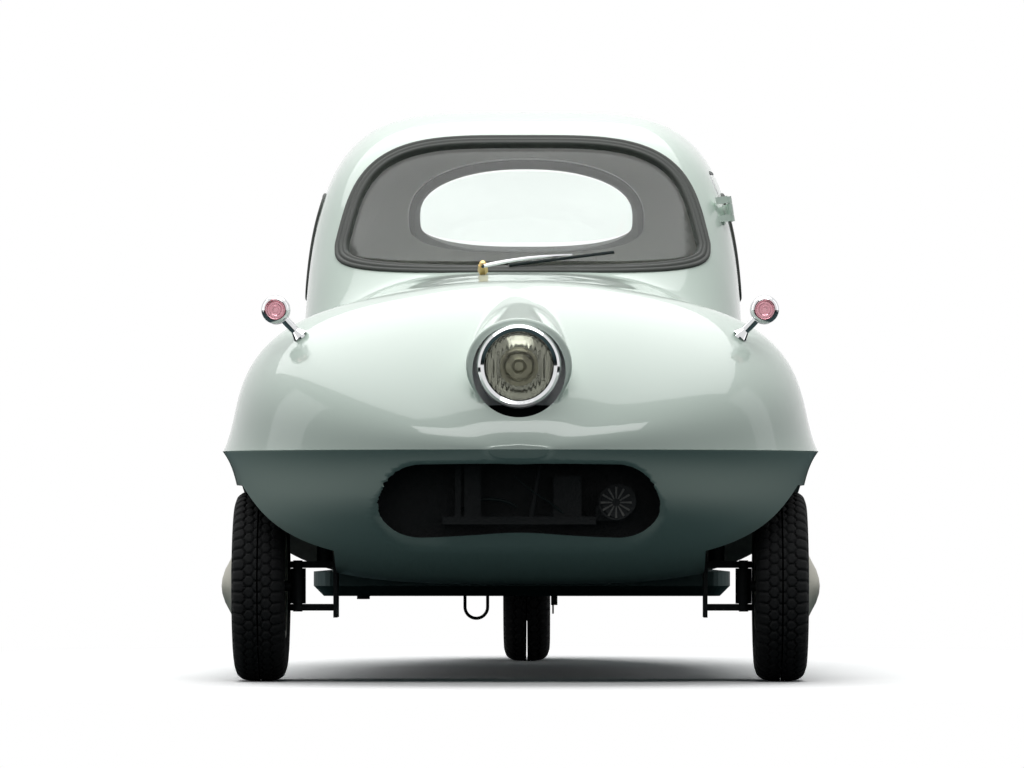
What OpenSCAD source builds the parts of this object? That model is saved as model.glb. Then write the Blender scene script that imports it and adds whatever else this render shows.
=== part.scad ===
// Three-wheeled microcar with a glass-fibre body: two steered wheels in front, one driven wheel behind.
// The nose points along -Y and the car's left side is +X. The origin is on the ground, under its middle.

/* [Body] */
// Length of the body, nose to tail
body_length = 2950; // [2450:10:3550]
// Width across the ledge, at the front wheels
body_width = 1266; // [1055:2:1520]
// Height of the roof above the ground
body_height = 1262; // [1100:5:1450]
// Height of the ledge where the upper and lower shells meet
ledge_height = 483; // [475:1:560]
// Height of the belly above the ground
belly_height = 204; // [190:1:230]
// Thickness of the body's walls
wall = 22; // [18:1:28]
// How far the ledge's lip stands out past the lower shell
lip = 40; // [24:1:60]
// Gap all round the door and the engine lid
panel_gap = 9; // [7:0.5:12]

/* [Wheels] */
// Distance between the front and rear axles
wheelbase = 2000; // [1900:10:2100]
// Distance of the front axle behind the nose
front_overhang = 485; // [440:5:540]
// Distance of a front wheel's middle in from the ledge
wheel_inset = 86; // [70:1:110]
// Outside diameter of a tyre
tyre_d = 400; // [340:2:420]
// Width of a tyre
tyre_w = 112; // [90:2:124]
// Diameter of the rim where the tyre sits
rim_d = 206; // [170:2:240]
// Room between a tyre and the well round it
arch_gap = 62; // [45:1:66]
// Room between the top of a tyre and the arch's edge in the body's skin
arch_top_gap = 12; // [8:1:30]
// Diameter of the stub axles and the rear axle
axle_d = 22; // [16:1:28]
// Diameter of the king pins
king_pin_d = 20; // [14:1:26]
// Distance of a king pin inboard of its wheel's middle
king_pin_inset = 77; // [70:1:90]

/* [Windows] */
// Width of the rubber seal round each window
seal_w = 25; // [16:1:32]
// How far a seal stands proud of the body
seal_proud = 4; // [1:0.5:8]
// Thickness of the glass
glass_t = 5; // [4:0.5:8]

/* [Lamps] */
// Outside diameter of the headlight's bezel
bezel_d = 173; // [140:1:190]
// Height of the headlight above the ground
headlight_z = 653; // [620:1:680]
// Diameter of a side lamp
side_lamp_d = 60; // [44:1:80]
// Diameter of a tail lamp
tail_lamp_d = 70; // [50:1:84]

/* [Cabin] */
// Diameter of the steering wheel
steering_wheel_d = 340; // [280:2:380]
// Width of a seat
seat_w = 400; // [340:5:430]
// Depth of a seat's cushion
seat_d = 400; // [340:5:440]
// Height of a seat's back above its cushion
seat_back_h = 430; // [360:5:450]

/* [Number plate] */
// Width of the number plate
plate_w = 220; // [180:5:260]
// Height of the number plate
plate_h = 110; // [90:5:140]
// Distance between the plate's two screw holes
plate_pitch = 150; // [100:5:160]
// Diameter of the plate's screw holes
plate_hole_d = 7; // [5:0.5:9]

/* [Hidden] */

// Clearance of pieces that seat on each other without touching
seat_gap = 0.3;
// Running clearance of a pin in its bore, on the radius
PIN_GAP = 0.06;

half_l = body_length / 2;
half_w = body_width / 2;
front_y = front_overhang - half_l;
rear_y = front_y + wheelbase;
axle_z = tyre_d / 2;
wheel_x = half_w - wheel_inset;
arch_r = axle_z + arch_gap;

// The body's sections at full size. Heights count up or down from the ledge.
// The dome is the cabin or the hood, and the swell is the fender or the shoulder below it.
// y, lip's half width, dome: half width, height, squareness, swell: half width, height, squareness, bowl: depth
Y = 0; LIP = 1; DOME_W = 2; DOME_H = 3; DOME_N = 4; SWELL_W = 5; SWELL_H = 6; SWELL_N = 7; BOWL_H = 8;
BASE_L = 1475; BASE_W = 633; BASE_H = 779; BASE_D = 279;
SECTIONS = [
  [-1475, 633, 420, 330, 2.3, 594, 300, 2.9, 279],
  [-1200, 633, 425, 338, 2.4, 595, 320, 3.0, 279],
  [-1000, 633, 430, 347, 2.5, 595, 333, 3.1, 279],
  [-800, 630, 440, 374, 2.7, 591, 323, 3.0, 279],
  [-650, 622, 455, 387, 3.0, 583, 290, 2.8, 279],
  [-560, 615, 466, 400, 3.2, 577, 262, 2.6, 279],
  [-400, 603, 483, 562, 3.8, 568, 222, 2.4, 279],
  [-250, 596, 486, 708, 4.2, 562, 200, 2.4, 279],
  [-100, 591, 486, 764, 4.3, 557, 185, 2.3, 279],
  [80, 583, 486, 779, 4.3, 550, 178, 2.3, 279],
  [300, 562, 479, 769, 4.0, 530, 170, 2.3, 279],
  [500, 530, 460, 744, 3.6, 498, 162, 2.3, 277],
  [700, 482, 426, 690, 3.1, 452, 152, 2.2, 270],
  [900, 420, 375, 600, 2.7, 393, 142, 2.2, 256],
  [1100, 352, 318, 497, 2.4, 328, 132, 2.1, 238],
  [1300, 288, 265, 412, 2.2, 268, 124, 2.0, 218],
  [1475, 240, 225, 350, 2.1, 224, 118, 2.0, 200]
];
// Squareness of the bowl, and how far the nose and tail caps reach, with their squareness
BOWL_N = 3.3;
NOSE_Y = -1000; NOSE_W_N = 2.3; NOSE_H_N = 1.5; NOSE_BOWL_N = 2.0;
TAIL_Y = 900; TAIL_W_N = 2.2; TAIL_H_N = 2.1; TAIL_BOWL_N = 2.0;
// Softness of the join of dome and swell, and the angle in which the lip dies out
JOIN = 40;
LIP_ANGLE = 5.5;
// Share of the lip that flares out at the top of the lower shell, and the angle in which it dies out
FLARE = 0.85;
FLARE_ANGLE = 4;

// Slope of column c at row i, and the column's value at y by a cubic through the rows
function slope(i, c) =
  let (a = max(i - 1, 0), b = min(i + 1, len(SECTIONS) - 1))
  (SECTIONS[b][c] - SECTIONS[a][c]) / (SECTIONS[b][Y] - SECTIONS[a][Y]);
function row_at(y, i = 0) = i >= len(SECTIONS) - 2 || SECTIONS[i + 1][Y] > y ? i : row_at(y, i + 1);
function value(i, y, c) =
  let (h = SECTIONS[i + 1][Y] - SECTIONS[i][Y], t = (y - SECTIONS[i][Y]) / h)
  (2 * t * t * t - 3 * t * t + 1) * SECTIONS[i][c] + (t * t * t - 2 * t * t + t) * h * slope(i, c)
  + (3 * t * t - 2 * t * t * t) * SECTIONS[i + 1][c] + (t * t * t - t * t) * h * slope(i + 1, c);
// Rounding of the nose and tail: 1 along the middle, 0 at the very end
function cap(y, nose_n, tail_n) =
  let (
    t = y < NOSE_Y ? (NOSE_Y - y) / (BASE_L + NOSE_Y) : y > TAIL_Y ? (y - TAIL_Y) / (BASE_L - TAIL_Y) : 0,
    n = y < 0 ? nose_n : tail_n
  )
  pow(max(1 - pow(min(t, 1), n), 0), 1 / n);
// The whole section at y of the unscaled body, with the caps applied
function section(y) =
  let (
    i = row_at(y),
    cap_w = cap(y, NOSE_W_N, TAIL_W_N),
    cap_h = cap(y, NOSE_H_N, TAIL_H_N),
    cap_b = cap(y, NOSE_BOWL_N, TAIL_BOWL_N),
    size = [1, cap_w, cap_w, cap_h, 1, cap_w, cap_h, 1, cap_b]
  )
  [for (c = [Y : BOWL_H]) c == Y ? y : value(i, y, c) * size[c]];
function oval(angle, w, h, n) =
  1 / pow(pow(abs(cos(angle)) / w, n) + pow(abs(sin(angle)) / h, n), 1 / n);
// Distance of the skin from the ledge's middle line at an angle above it (or below, for the bowl)
function skin_up(s, angle) =
  let (
    a = oval(angle, s[DOME_W], s[DOME_H], s[DOME_N]),
    b = oval(angle, s[SWELL_W], s[SWELL_H], s[SWELL_N]),
    soft = JOIN * s[SWELL_W] / BASE_W
  )
  (a + b + sqrt((a - b) * (a - b) + soft * soft)) / 2
  + (s[LIP] - s[SWELL_W] - soft / 4) * exp(-min(angle, 180 - angle) / LIP_ANGLE);
function skin_down(s, angle) =
  let (out = s[LIP] * lip / BASE_W)
  oval(angle, s[LIP] - out, s[BOWL_H], BOWL_N) + FLARE * out * exp(-min(angle, 180 - angle) / FLARE_ANGLE);

SX = half_w / BASE_W;
SY = half_l / BASE_L;
S_UP = (body_height - ledge_height) / BASE_H;
S_DOWN = (ledge_height - belly_height) / BASE_D;
// Smallest size of a section's ring, so that the nose and tail end in a small flat
TIP = 1;
// A ring of the skin at y, moved in by inset: angles from one side over the top (or under the belly) to the other
function ring(y, inset, angles, up) =
  let (
    full_y = y / SY,
    shrunk_y = full_y * BASE_L / (BASE_L - inset),
    s = section(max(min(shrunk_y, BASE_L - TIP), TIP - BASE_L))
  )
  [for (a = angles)
    let (r = max((up ? skin_up(s, a) : skin_down(s, a)) - inset, TIP))
    [r * cos(a) * SX, y, ledge_height + (up ? r * sin(a) * S_UP : -r * sin(a) * S_DOWN)]];

// Angles round the upper and the lower half, closer together near the ledge
UP_STEPS = 16;
DOWN_STEPS = 11;
function quarter(steps, ease) = [for (i = [0 : steps]) 90 * pow(i / steps, ease)];
function half_turn(steps, ease) =
  let (q = quarter(steps, ease)) concat(q, [for (i = [1 : steps]) 180 - q[steps - i]]);
UP_ANGLES = half_turn(UP_STEPS, 1.3);
DOWN_ANGLES = half_turn(DOWN_STEPS, 1);
// Places of the rings: close at the nose, the windscreen and the tail
STATIONS = concat(
  [for (a = [90 : -10 : 10]) NOSE_Y - (BASE_L + NOSE_Y) * sin(a)],
  [NOSE_Y, -900, -800, -710, -640, -590, -545, -490, -430, -370, -310, -250, -190, -110],
  [for (y = [0 : 100 : TAIL_Y]) y],
  [for (a = [11 : 11 : 88]) TAIL_Y + (BASE_L - TAIL_Y) * sin(a)],
  [BASE_L]
);

// Solid of stacked rings, each closed by a straight line
module loft(rings) {
  count = len(rings[0]);
  last = len(rings) - 1;
  sides = [for (j = [0 : last - 1]) for (i = [0 : count - 1])
    let (k = (i + 1) % count)
    each [[j * count + i, j * count + k, (j + 1) * count + k], [j * count + i, (j + 1) * count + k, (j + 1) * count + i]]];
  polyhedron(
    [for (r = rings) each r],
    concat(sides, [[for (i = [count - 1 : -1 : 0]) i]], [[for (i = [0 : count - 1]) last * count + i]])
  );
}

// The body's upper and lower halves as closed solids, moved in by inset (or out, when it is negative).
// Each is pulled a little past the ledge by an overlap, so that an inner one cuts cleanly.
function stations(inset) = [for (y = STATIONS) y * SY * (BASE_L - inset) / BASE_L];
module upper_solid(inset, overlap = 0) {
  loft([for (y = stations(inset))
    let (r = ring(y, inset, UP_ANGLES, true), n = len(r) - 1)
    overlap == 0 ? r : concat([r[0] - [0, 0, overlap]], r, [r[n] - [0, 0, overlap]])]);
}
module lower_solid(inset, overlap = 0) {
  mirror([0, 0, 1]) loft([for (y = stations(inset))
    let (
      r = [for (p = ring(y, inset, DOWN_ANGLES, false)) [p[0], p[1], -p[2]]],
      n = len(r) - 1
    )
    overlap == 0 ? r : concat([r[0] - [0, 0, overlap]], r, [r[n] - [0, 0, overlap]])]);
}

// A point of the upper skin at y and an angle, and its outward direction across the car
function skin_point(y, angle, inset = 0) = ring(y, inset, [angle], true)[0];
function belly_point(y, angle) = ring(y, 0, [angle], false)[0];

// Distance from the ledge's middle line in the sections' own scale, and whether a point is inside the skin
function inside_up(x, y, z, inset = 0) =
  let (
    px = x / SX,
    pz = (z - ledge_height) / S_UP,
    s = section(max(min(y / SY * BASE_L / (BASE_L - inset), BASE_L - TIP), TIP - BASE_L))
  )
  norm([px, pz]) < skin_up(s, atan2(pz, abs(px))) - inset;
function inside_down(x, y, z, inset = 0) =
  let (
    px = x / SX,
    pz = (ledge_height - z) / S_DOWN,
    s = section(max(min(y / SY * BASE_L / (BASE_L - inset), BASE_L - TIP), TIP - BASE_L))
  )
  norm([px, pz]) < skin_down(s, atan2(pz, abs(px))) - inset;
// Places on the skin, found by halving: y of the front or tail skin, x of the side, z of the belly
HALVINGS = 20;
function front_y_at(x, z, inset = 0, a = -half_l, b = 0, n = HALVINGS) =
  let (m = (a + b) / 2)
  n == 0 ? m : inside_up(x, m, z, inset) ? front_y_at(x, z, inset, a, m, n - 1) : front_y_at(x, z, inset, m, b, n - 1);
function tail_y_at(x, z, inset = 0, a = 300, b = half_l, n = HALVINGS) =
  let (m = (a + b) / 2)
  n == 0 ? m : inside_up(x, m, z, inset) ? tail_y_at(x, z, inset, m, b, n - 1) : tail_y_at(x, z, inset, a, m, n - 1);
function side_x_at(y, z, inset = 0, a = 0, b = half_w, n = HALVINGS) =
  let (m = (a + b) / 2)
  n == 0 ? m : inside_up(m, y, z, inset) ? side_x_at(y, z, inset, m, b, n - 1) : side_x_at(y, z, inset, a, m, n - 1);
function belly_z_at(x, y, inset = 0, a = 0, b = ledge_height, n = HALVINGS) =
  let (m = (a + b) / 2)
  n == 0 ? m : inside_down(x, y, m, inset) ? belly_z_at(x, y, inset, a, m, n - 1) : belly_z_at(x, y, inset, m, b, n - 1);

// Carves its children as one mesh
module meshed() { resize([0, 0, 0]) children(); }
// Straight rod between two points
module rod(p, q, d) {
  v = q - p;
  translate(p) rotate([0, acos(v[2] / norm(v)), atan2(v[1], v[0])]) cylinder(h = norm(v), d = d, $fn = 32);
}
// Cone between two points
module cone(p, q, d1, d2) {
  v = q - p;
  translate(p) rotate([0, acos(v[2] / norm(v)), atan2(v[1], v[0])]) cylinder(h = norm(v), d1 = d1, d2 = d2, $fn = 32);
}
// Block given by its low and high corners
module block(low, high) { translate(low) cube(high - low); }
// Outline in X and Z, drawn through the body from y0 to y1
module along_y(y0, y1) { translate([0, y1, 0]) rotate([90, 0, 0]) linear_extrude(y1 - y0) children(); }
// Outline in Y and Z, drawn from x0 to x1
module along_x(x0, x1) { translate([x0, 0, 0]) rotate([90, 0, 90]) linear_extrude(x1 - x0) children(); }
// Convex outline round circles given as [across, height, radius], in the unscaled body
module outline(circles, across, grow) {
  offset(delta = grow, chamfer = false)
    translate([0, ledge_height]) scale([across, S_UP]) translate([0, -LEDGE_BASE])
      hull() for (c = circles) translate([c[0], c[1]]) circle(r = c[2], $fn = 32);
}
LEDGE_BASE = 483;
// Rounded window outline given by the seven values of its row below
WINDOW_STEPS = 14;
function power_of(v, n) = sign(v) * pow(abs(v), 2 / n);
function window_point(w, a) =
  let (
    up = sin(a) > 0,
    n = up ? w[3] : w[5],
    rise = (up ? w[2] : w[4]) * power_of(sin(a), n)
  )
  [(w[0] - w[6] * max(rise, 0)) * power_of(cos(a), n), w[1] + rise];
module window_outline(w, grow) {
  offset(delta = grow, chamfer = false)
    translate([0, ledge_height]) scale([SX, S_UP]) translate([0, -LEDGE_BASE])
      polygon([for (i = [0 : 4 * WINDOW_STEPS - 1]) window_point(w, 90 * i / WINDOW_STEPS)]);
}
function both_sides(circles) = [for (c = circles, side = [-1, 1]) [side * c[0], c[1], c[2]]];

// Window, door and lid outlines: across (or along), height, corner radius
// half width at the widest line, height of that line, rise above it, squareness above, drop below it, squareness below,
// narrowing for each mm above it
WINDSCREEN = [409, 945, 245, 3.8, 67, 4, 0.22];
REAR_WINDOW = [280, 1052, 136, 2.3, 68, 3.4, 0];
DOOR = [[-168, 580, 60], [285, 580, 60], [-145, 1040, 80], [200, 1030, 90]];
SIDE_WINDOW = [[-146, 868, 35], [-130, 1022, 45], [190, 878, 45], [150, 1000, 70]];
LID = both_sides([[150, 655, 45], [120, 865, 65]]);
MOUTH_HALF = 264;
MOUTH_Z = [315, 440];

module windscreen_shape(grow) { along_y(-700 * SY, -100 * SY) window_outline(WINDSCREEN, grow); }
module rear_window_shape(grow) { along_y(450 * SY, half_l) window_outline(REAR_WINDOW, grow); }
module door_shape(grow) { along_x(half_w / 4, half_w) outline(DOOR, SY, grow); }
module side_window_shape(grow, side) {
  mirror([side < 0 ? 1 : 0, 0, 0]) along_x(half_w / 4, half_w) outline(SIDE_WINDOW, SY, grow);
}
module lid_shape(grow) { along_y(850 * SY, half_l + 1) outline(LID, SX, grow); }
module mouth_shape(grow) {
  r = (MOUTH_Z[1] - MOUTH_Z[0]) / 2 * S_DOWN;
  z = ledge_height - (LEDGE_BASE - (MOUTH_Z[0] + MOUTH_Z[1]) / 2) * S_DOWN;
  along_y(-half_l - 1, front_y - arch_r - 10)
    hull() for (side = [-1, 1]) translate([side * (MOUTH_HALF * SX - r), z]) circle(r = r + grow, $fn = 32);
}

// Skin of the body between two depths, inside an outline given as the child
module skin_band(outer, inner) {
  intersection() {
    difference() {
      upper_solid(outer);
      upper_solid(inner, inner + 1);
    }
    children();
  }
}

// Headlight
LENS_R = bezel_d / 2 - 15;
NACELLE_R = bezel_d / 2 + 20;
bezel_y = -half_l + 22;
nacelle_y = bezel_y + 26;
lamp_hole_r = bezel_d / 2 - 10;
NACELLE_END = [0, -900, 815];
module nacelle(r, front, back) {
  hull() {
    translate([0, front, headlight_z]) rotate([-90, 0, 0]) cylinder(r = r, h = 30, $fn = 32);
    translate([0, NACELLE_END[1] * SY + back, ledge_height + (NACELLE_END[2] - LEDGE_BASE) * S_UP]) sphere(r = r / 4, $fn = 16);
  }
}

// Wheel wells
LINER = 8;
well_x = wheel_x - 162;
RUN = 290;
rear_well = [[-120, rear_y - RUN, -1], [120, rear_y + arch_r - 12, 455]];
module front_wells(grow) {
  for (side = [-1, 1])
    translate([side > 0 ? well_x - grow : -half_w - 20, front_y, axle_z])
      rotate([0, 90, 0]) cylinder(r = arch_r + grow, h = half_w + 20 - well_x + grow, $fn = 64);
}
module rear_well_box(grow) {
  block(rear_well[0] - [grow, grow, 0], rear_well[1] + [grow, grow, grow]);
}

// Tail lamps and number plate
TAIL_LAMP_Y = 1290;
tail_lamp_at = let (p = skin_point(TAIL_LAMP_Y * SY, 16)) [p[0] - 6, p[1], p[2]];
plate_y = half_l - 20;
plate_z = ledge_height - 63 - plate_h / 2;
PLATE_T = 3;
module tail_lamp_bodies(grow, deep) {
  for (side = [-1, 1])
    translate([side * tail_lamp_at[0], tail_lamp_at[1] - deep, tail_lamp_at[2]])
      rotate([-90, 0, 0]) cylinder(d = tail_lamp_d + 2 * grow, h = deep + 60, $fn = 48);
}

module upper_body() {
  color([0.80, 0.88, 0.82]) meshed() difference() {
    union() {
      upper_solid(0);
      nacelle(NACELLE_R, nacelle_y, 0);
    }
    upper_solid(wall, wall + 1);
    nacelle(NACELLE_R - wall, nacelle_y + wall, 60);
    translate([0, nacelle_y - 1, headlight_z]) rotate([-90, 0, 0]) cylinder(r = lamp_hole_r, h = wall + 20, $fn = 48);
    block([-half_w, -half_l - 10, 0], [half_w, half_l, ledge_height]);
    windscreen_shape(0);
    rear_window_shape(0);
    door_shape(0);
    side_window_shape(0, -1);
    lid_shape(0);
    tail_lamp_bodies(seat_gap, 40);
    translate([0, -half_l - 1, headlight_z]) rotate([-90, 0, 0])
      cylinder(d = bezel_d + 2 * seat_gap, h = nacelle_y + half_l + 1, $fn = 64);
    at_door_hinges() fixed_pockets();
    at_lid_hinges() fixed_pockets();
    side_lamp_feet(seat_gap);
    wiper_spindle(seat_gap);
  }
}

module lower_body() {
  color([0.70, 0.78, 0.73]) meshed() difference() {
    lower_solid(0);
    difference() {
      lower_solid(wall, wall + 1);
      front_wells(LINER);
      rear_well_box(LINER);
    }
    intersection() {
      front_wells(0);
      union() {
        lower_solid(wall);
        block([-half_w - 20, -half_l, -arch_r], [half_w + 20, half_l, tyre_d + arch_top_gap]);
      }
    }
    rear_well_box(0);
    mouth_shape(0);
    pan_cut();
    plate_bosses(seat_gap);
  }
}

// Floor pan, with the seats' bases on it
PAN_T = 53;
PAN_Y = [-700, 480];
PAN_HALF = [450, 400];
PAN_R = 60;
pan_z = belly_height - 29;
pan_top = pan_z + PAN_T;
module pan_outline(grow) {
  hull() for (side = [-1, 1], end = [0, 1])
    translate([side * (PAN_HALF[end] * SX - PAN_R), PAN_Y[end] * SY + (end == 0 ? PAN_R : -PAN_R)])
      circle(r = PAN_R + grow, $fn = 32);
}
module pan_cut() { translate([0, 0, -1]) linear_extrude(pan_top + seat_gap + 1) pan_outline(seat_gap); }
// Seats: across, cushion's front edge along Y
DRIVER = [-215, -135];
PASSENGER = [215, -50];
SEAT_BASE_H = 120;
CUSHION_T = 95;
BACK_T = 85;
BACK_LEAN = 10;
seat_z = pan_top + SEAT_BASE_H;
module seat_base(at) {
  for (side = [-1, 1])
    block(
      [at[0] * SX + side * seat_w * 0.36 - 15, at[1] * SY + 30, pan_top],
      [at[0] * SX + side * seat_w * 0.36 + 15, at[1] * SY + seat_d - 20, seat_z]
    );
  block([at[0] * SX - seat_w / 2 + 15, at[1] * SY + 20, seat_z - 12], [at[0] * SX + seat_w / 2 - 15, at[1] * SY + seat_d, seat_z]);
}
module floor_pan() {
  color([0.18, 0.27, 0.27]) {
    meshed() hull() {
      translate([0, 0, pan_z + 22]) linear_extrude(PAN_T - 22) pan_outline(0);
      translate([0, 0, pan_z]) linear_extrude(1) pan_outline(-22);
    }
  }
}
module seat_frames() {
  color([0.25, 0.27, 0.27]) meshed() intersection() {
    lower_solid(wall + seat_gap, body_height);
    union() {
      seat_base(DRIVER);
      seat_base(PASSENGER);
    }
  }
}
module seat(at) {
  x = at[0] * SX;
  y = at[1] * SY;
  block([x - seat_w / 2, y, seat_z + seat_gap], [x + seat_w / 2, y + seat_d, seat_z + CUSHION_T]);
  translate([x - seat_w / 2, y + seat_d + seat_gap, seat_z + CUSHION_T * 0.4])
    rotate([-BACK_LEAN, 0, 0]) cube([seat_w, BACK_T, seat_back_h + CUSHION_T * 0.6]);
}
module driver_seat() { color([0.45, 0.12, 0.10]) seat(DRIVER); }
module passenger_seat() { color([0.45, 0.12, 0.10]) seat(PASSENGER); }

// Panels inside the cabin
DASH_Y = [-590, -452];
DASH_Z = [700, 838];
DASH_T = 14;
module dashboard() {
  y0 = DASH_Y[0] * SY;
  y1 = DASH_Y[1] * SY;
  z0 = ledge_height + (DASH_Z[0] - LEDGE_BASE) * S_UP;
  z1 = ledge_height + (DASH_Z[1] - LEDGE_BASE) * S_UP;
  color([0.70, 0.78, 0.73]) meshed() intersection() {
    upper_solid(wall + seat_gap);
    union() {
      block([-half_w, y0, z1 - DASH_T], [half_w, y1, z1]);
      block([-half_w, y1 - DASH_T, z0], [half_w, y1, z1]);
    }
  }
}
BULK_Y = 530;
SHELF_Z = 800;
BULK_T = 14;
bulk_y = BULK_Y * SY;
shelf_z = ledge_height + (SHELF_Z - LEDGE_BASE) * S_UP;
module rear_bulkhead() {
  color([0.55, 0.56, 0.52]) meshed() union() {
    intersection() {
      upper_solid(wall + seat_gap);
      union() {
        block([-half_w, bulk_y, ledge_height], [half_w, bulk_y + BULK_T, shelf_z]);
        block([-half_w, bulk_y, shelf_z - BULK_T], [half_w, 1010 * SY, shelf_z]);
      }
    }
    intersection() {
      lower_solid(wall + seat_gap);
      block([-half_w, bulk_y, 0], [half_w, bulk_y + BULK_T, ledge_height]);
    }
  }
}
fire_y = front_y - arch_r - LINER - 14;
FIRE_T = 10;
RAIL_Z = 285;
NOSE_POSTS_Y = -1345;
module nose_frame() {
  y = NOSE_POSTS_Y * SY;
  color([0.16, 0.18, 0.18]) {
    meshed() union() {
      intersection() {
        upper_solid(wall + seat_gap);
        block([-half_w, fire_y - FIRE_T, ledge_height], [half_w, fire_y, body_height]);
      }
      intersection() {
        lower_solid(wall + seat_gap);
        block([-half_w, fire_y - FIRE_T, 0], [half_w, fire_y, ledge_height]);
      }
      for (side = [-1, 1])
        block([side * 150 - 8, y, 330], [side * 150 + 8, fire_y, 346]);
      block([-158, y - 6, 330], [158, y + 6, 346]);
      block([-132, y - 5, 340], [-120, y + 5, 470]);
      block([-113, y - 5, 340], [-79, y + 5, 470]);
      block([-150, y - 5, 458], [150, y + 5, 470]);
      rod([25, y, 344], [44, y, 462], 12);
      block([70, y, 346], [128, y + 50, 430]);
    }
  }
}
HORN_AT = [205, 378];
HORN_D = 70;
module horn() {
  y = NOSE_POSTS_Y * SY;
  color([0.12, 0.13, 0.13]) {
    translate([HORN_AT[0], y - 22, HORN_AT[1]]) rotate([-90, 0, 0]) cylinder(d = HORN_D, h = 20, $fn = 48);
    translate([HORN_AT[0], y - 3, HORN_AT[1]]) rotate([-90, 0, 0]) cylinder(d = HORN_D * 0.7, h = 34, $fn = 48);
    block([158, y + 8, HORN_AT[1] - 41], [HORN_AT[0] + 8, y + 12, HORN_AT[1] - 10]);
  }
}

// Glass in its seal: the seal fills the edge of the hole, and the glass meets the seal's inner edge
GLASS_IN = 8;
module windscreen() {
  color([0.75, 0.85, 0.85, 0.4]) meshed() skin_band(GLASS_IN, GLASS_IN + glass_t) windscreen_shape(-seal_w);
}
module windscreen_seal() {
  color([0.12, 0.13, 0.13]) meshed() difference() {
    skin_band(-seal_proud, wall) difference() {
      windscreen_shape(0);
      windscreen_shape(-seal_w);
    }
    wiper_spindle(seat_gap);
  }
}
module rear_window() {
  color([0.75, 0.85, 0.85, 0.4]) meshed() skin_band(GLASS_IN, GLASS_IN + glass_t) rear_window_shape(-seal_w);
}
module rear_window_seal() {
  color([0.12, 0.13, 0.13]) meshed() skin_band(-seal_proud, wall) difference() {
    rear_window_shape(0);
    rear_window_shape(-seal_w);
  }
}
module side_pane(side) {
  color([0.75, 0.85, 0.85, 0.4]) meshed() skin_band(GLASS_IN, GLASS_IN + glass_t) side_window_shape(-seal_w, side);
}
module side_rubber(side) {
  color([0.12, 0.13, 0.13]) meshed() skin_band(-seal_proud, wall) difference() {
    side_window_shape(0, side);
    side_window_shape(-seal_w, side);
  }
}
module side_glass() { side_pane(-1); }
module side_seal() { side_rubber(-1); }
module door_glass() { side_pane(1); }
module door_seal() { side_rubber(1); }
module door() {
  color([0.76, 0.84, 0.78]) meshed() difference() {
    skin_band(0, wall) door_shape(-panel_gap);
    side_window_shape(0, 1);
    at_door_hinges() moving_pocket();
    handle_boss(seat_gap);
  }
}
module engine_lid() {
  color([0.76, 0.84, 0.78]) meshed() difference() {
    skin_band(0, wall) lid_shape(-panel_gap);
    at_lid_hinges() moving_pocket();
  }
}

// Hinges: a pin in two end barrels on the body, and a middle barrel on the door or lid
BARREL_D = 14;
HINGE_PIN_D = 6;
HINGE_L = 56;
MIDDLE_L = 24;
BARREL_OUT = 18;
LEAF_T = 3;
LEAF_REACH = 52;
// The leaf stands off the skin on a pad, which starts past the panel's gap and is let into the skin
PAD_START = 32;
PAD_SUNK = 12;
door_hinge_y = -247 * SY;
DOOR_HINGE_Z = [1030, 650];
// Extra stand-off of the lower door hinge, which keeps the hinge line outside the door's bulge
LOW_OUT = 10;
function door_hinge_point(z0, out) =
  let (z = ledge_height + (z0 - LEDGE_BASE) * S_UP)
  [side_x_at(door_hinge_y, z) + out, door_hinge_y, z];
door_hinge_top = door_hinge_point(DOOR_HINGE_Z[0], BARREL_OUT);
door_hinge_low = door_hinge_point(DOOR_HINGE_Z[1], BARREL_OUT + LOW_OUT);
door_lean = atan2(door_hinge_low[0] - door_hinge_top[0], door_hinge_top[2] - door_hinge_low[2]);
LID_HINGE_X = 66;
LID_HINGE_TILT = 36;
lid_top = ledge_height + (940 - LEDGE_BASE) * S_UP;
lid_hinge = [
  0,
  tail_y_at(LID_HINGE_X, lid_top) + BARREL_OUT * sin(LID_HINGE_TILT),
  lid_top + BARREL_OUT * cos(LID_HINGE_TILT)
];
// Puts its child, drawn round +Z with the moving side along +Y, at each hinge
module at_door_hinges() {
  for (p = [door_hinge_top, door_hinge_low]) translate(p) rotate([0, -door_lean, 0]) children();
}
module at_lid_hinges() {
  for (side = [-1, 1])
    translate([side * LID_HINGE_X, lid_hinge[1], lid_hinge[2]]) rotate([0, -90, 0]) rotate([0, 0, LID_HINGE_TILT]) children();
}
function barrel_mid(s) = s * (HINGE_L + MIDDLE_L + 2) / 4;
END_L = (HINGE_L - MIDDLE_L - 2) / 2;
module pad(length, way, grow) {
  y = [min(way * PAD_START, way * LEAF_REACH), max(way * PAD_START, way * LEAF_REACH)];
  block([-BARREL_OUT - PAD_SUNK - grow, y[0] - grow, -length / 2 - grow], [-3 + grow, y[1] + grow, length / 2 + grow]);
}
module leaf(length, way) {
  block([-3 - LEAF_T, min(0, way * LEAF_REACH), -length / 2], [-3, max(0, way * LEAF_REACH), length / 2]);
  pad(length, way, 0);
}
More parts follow.
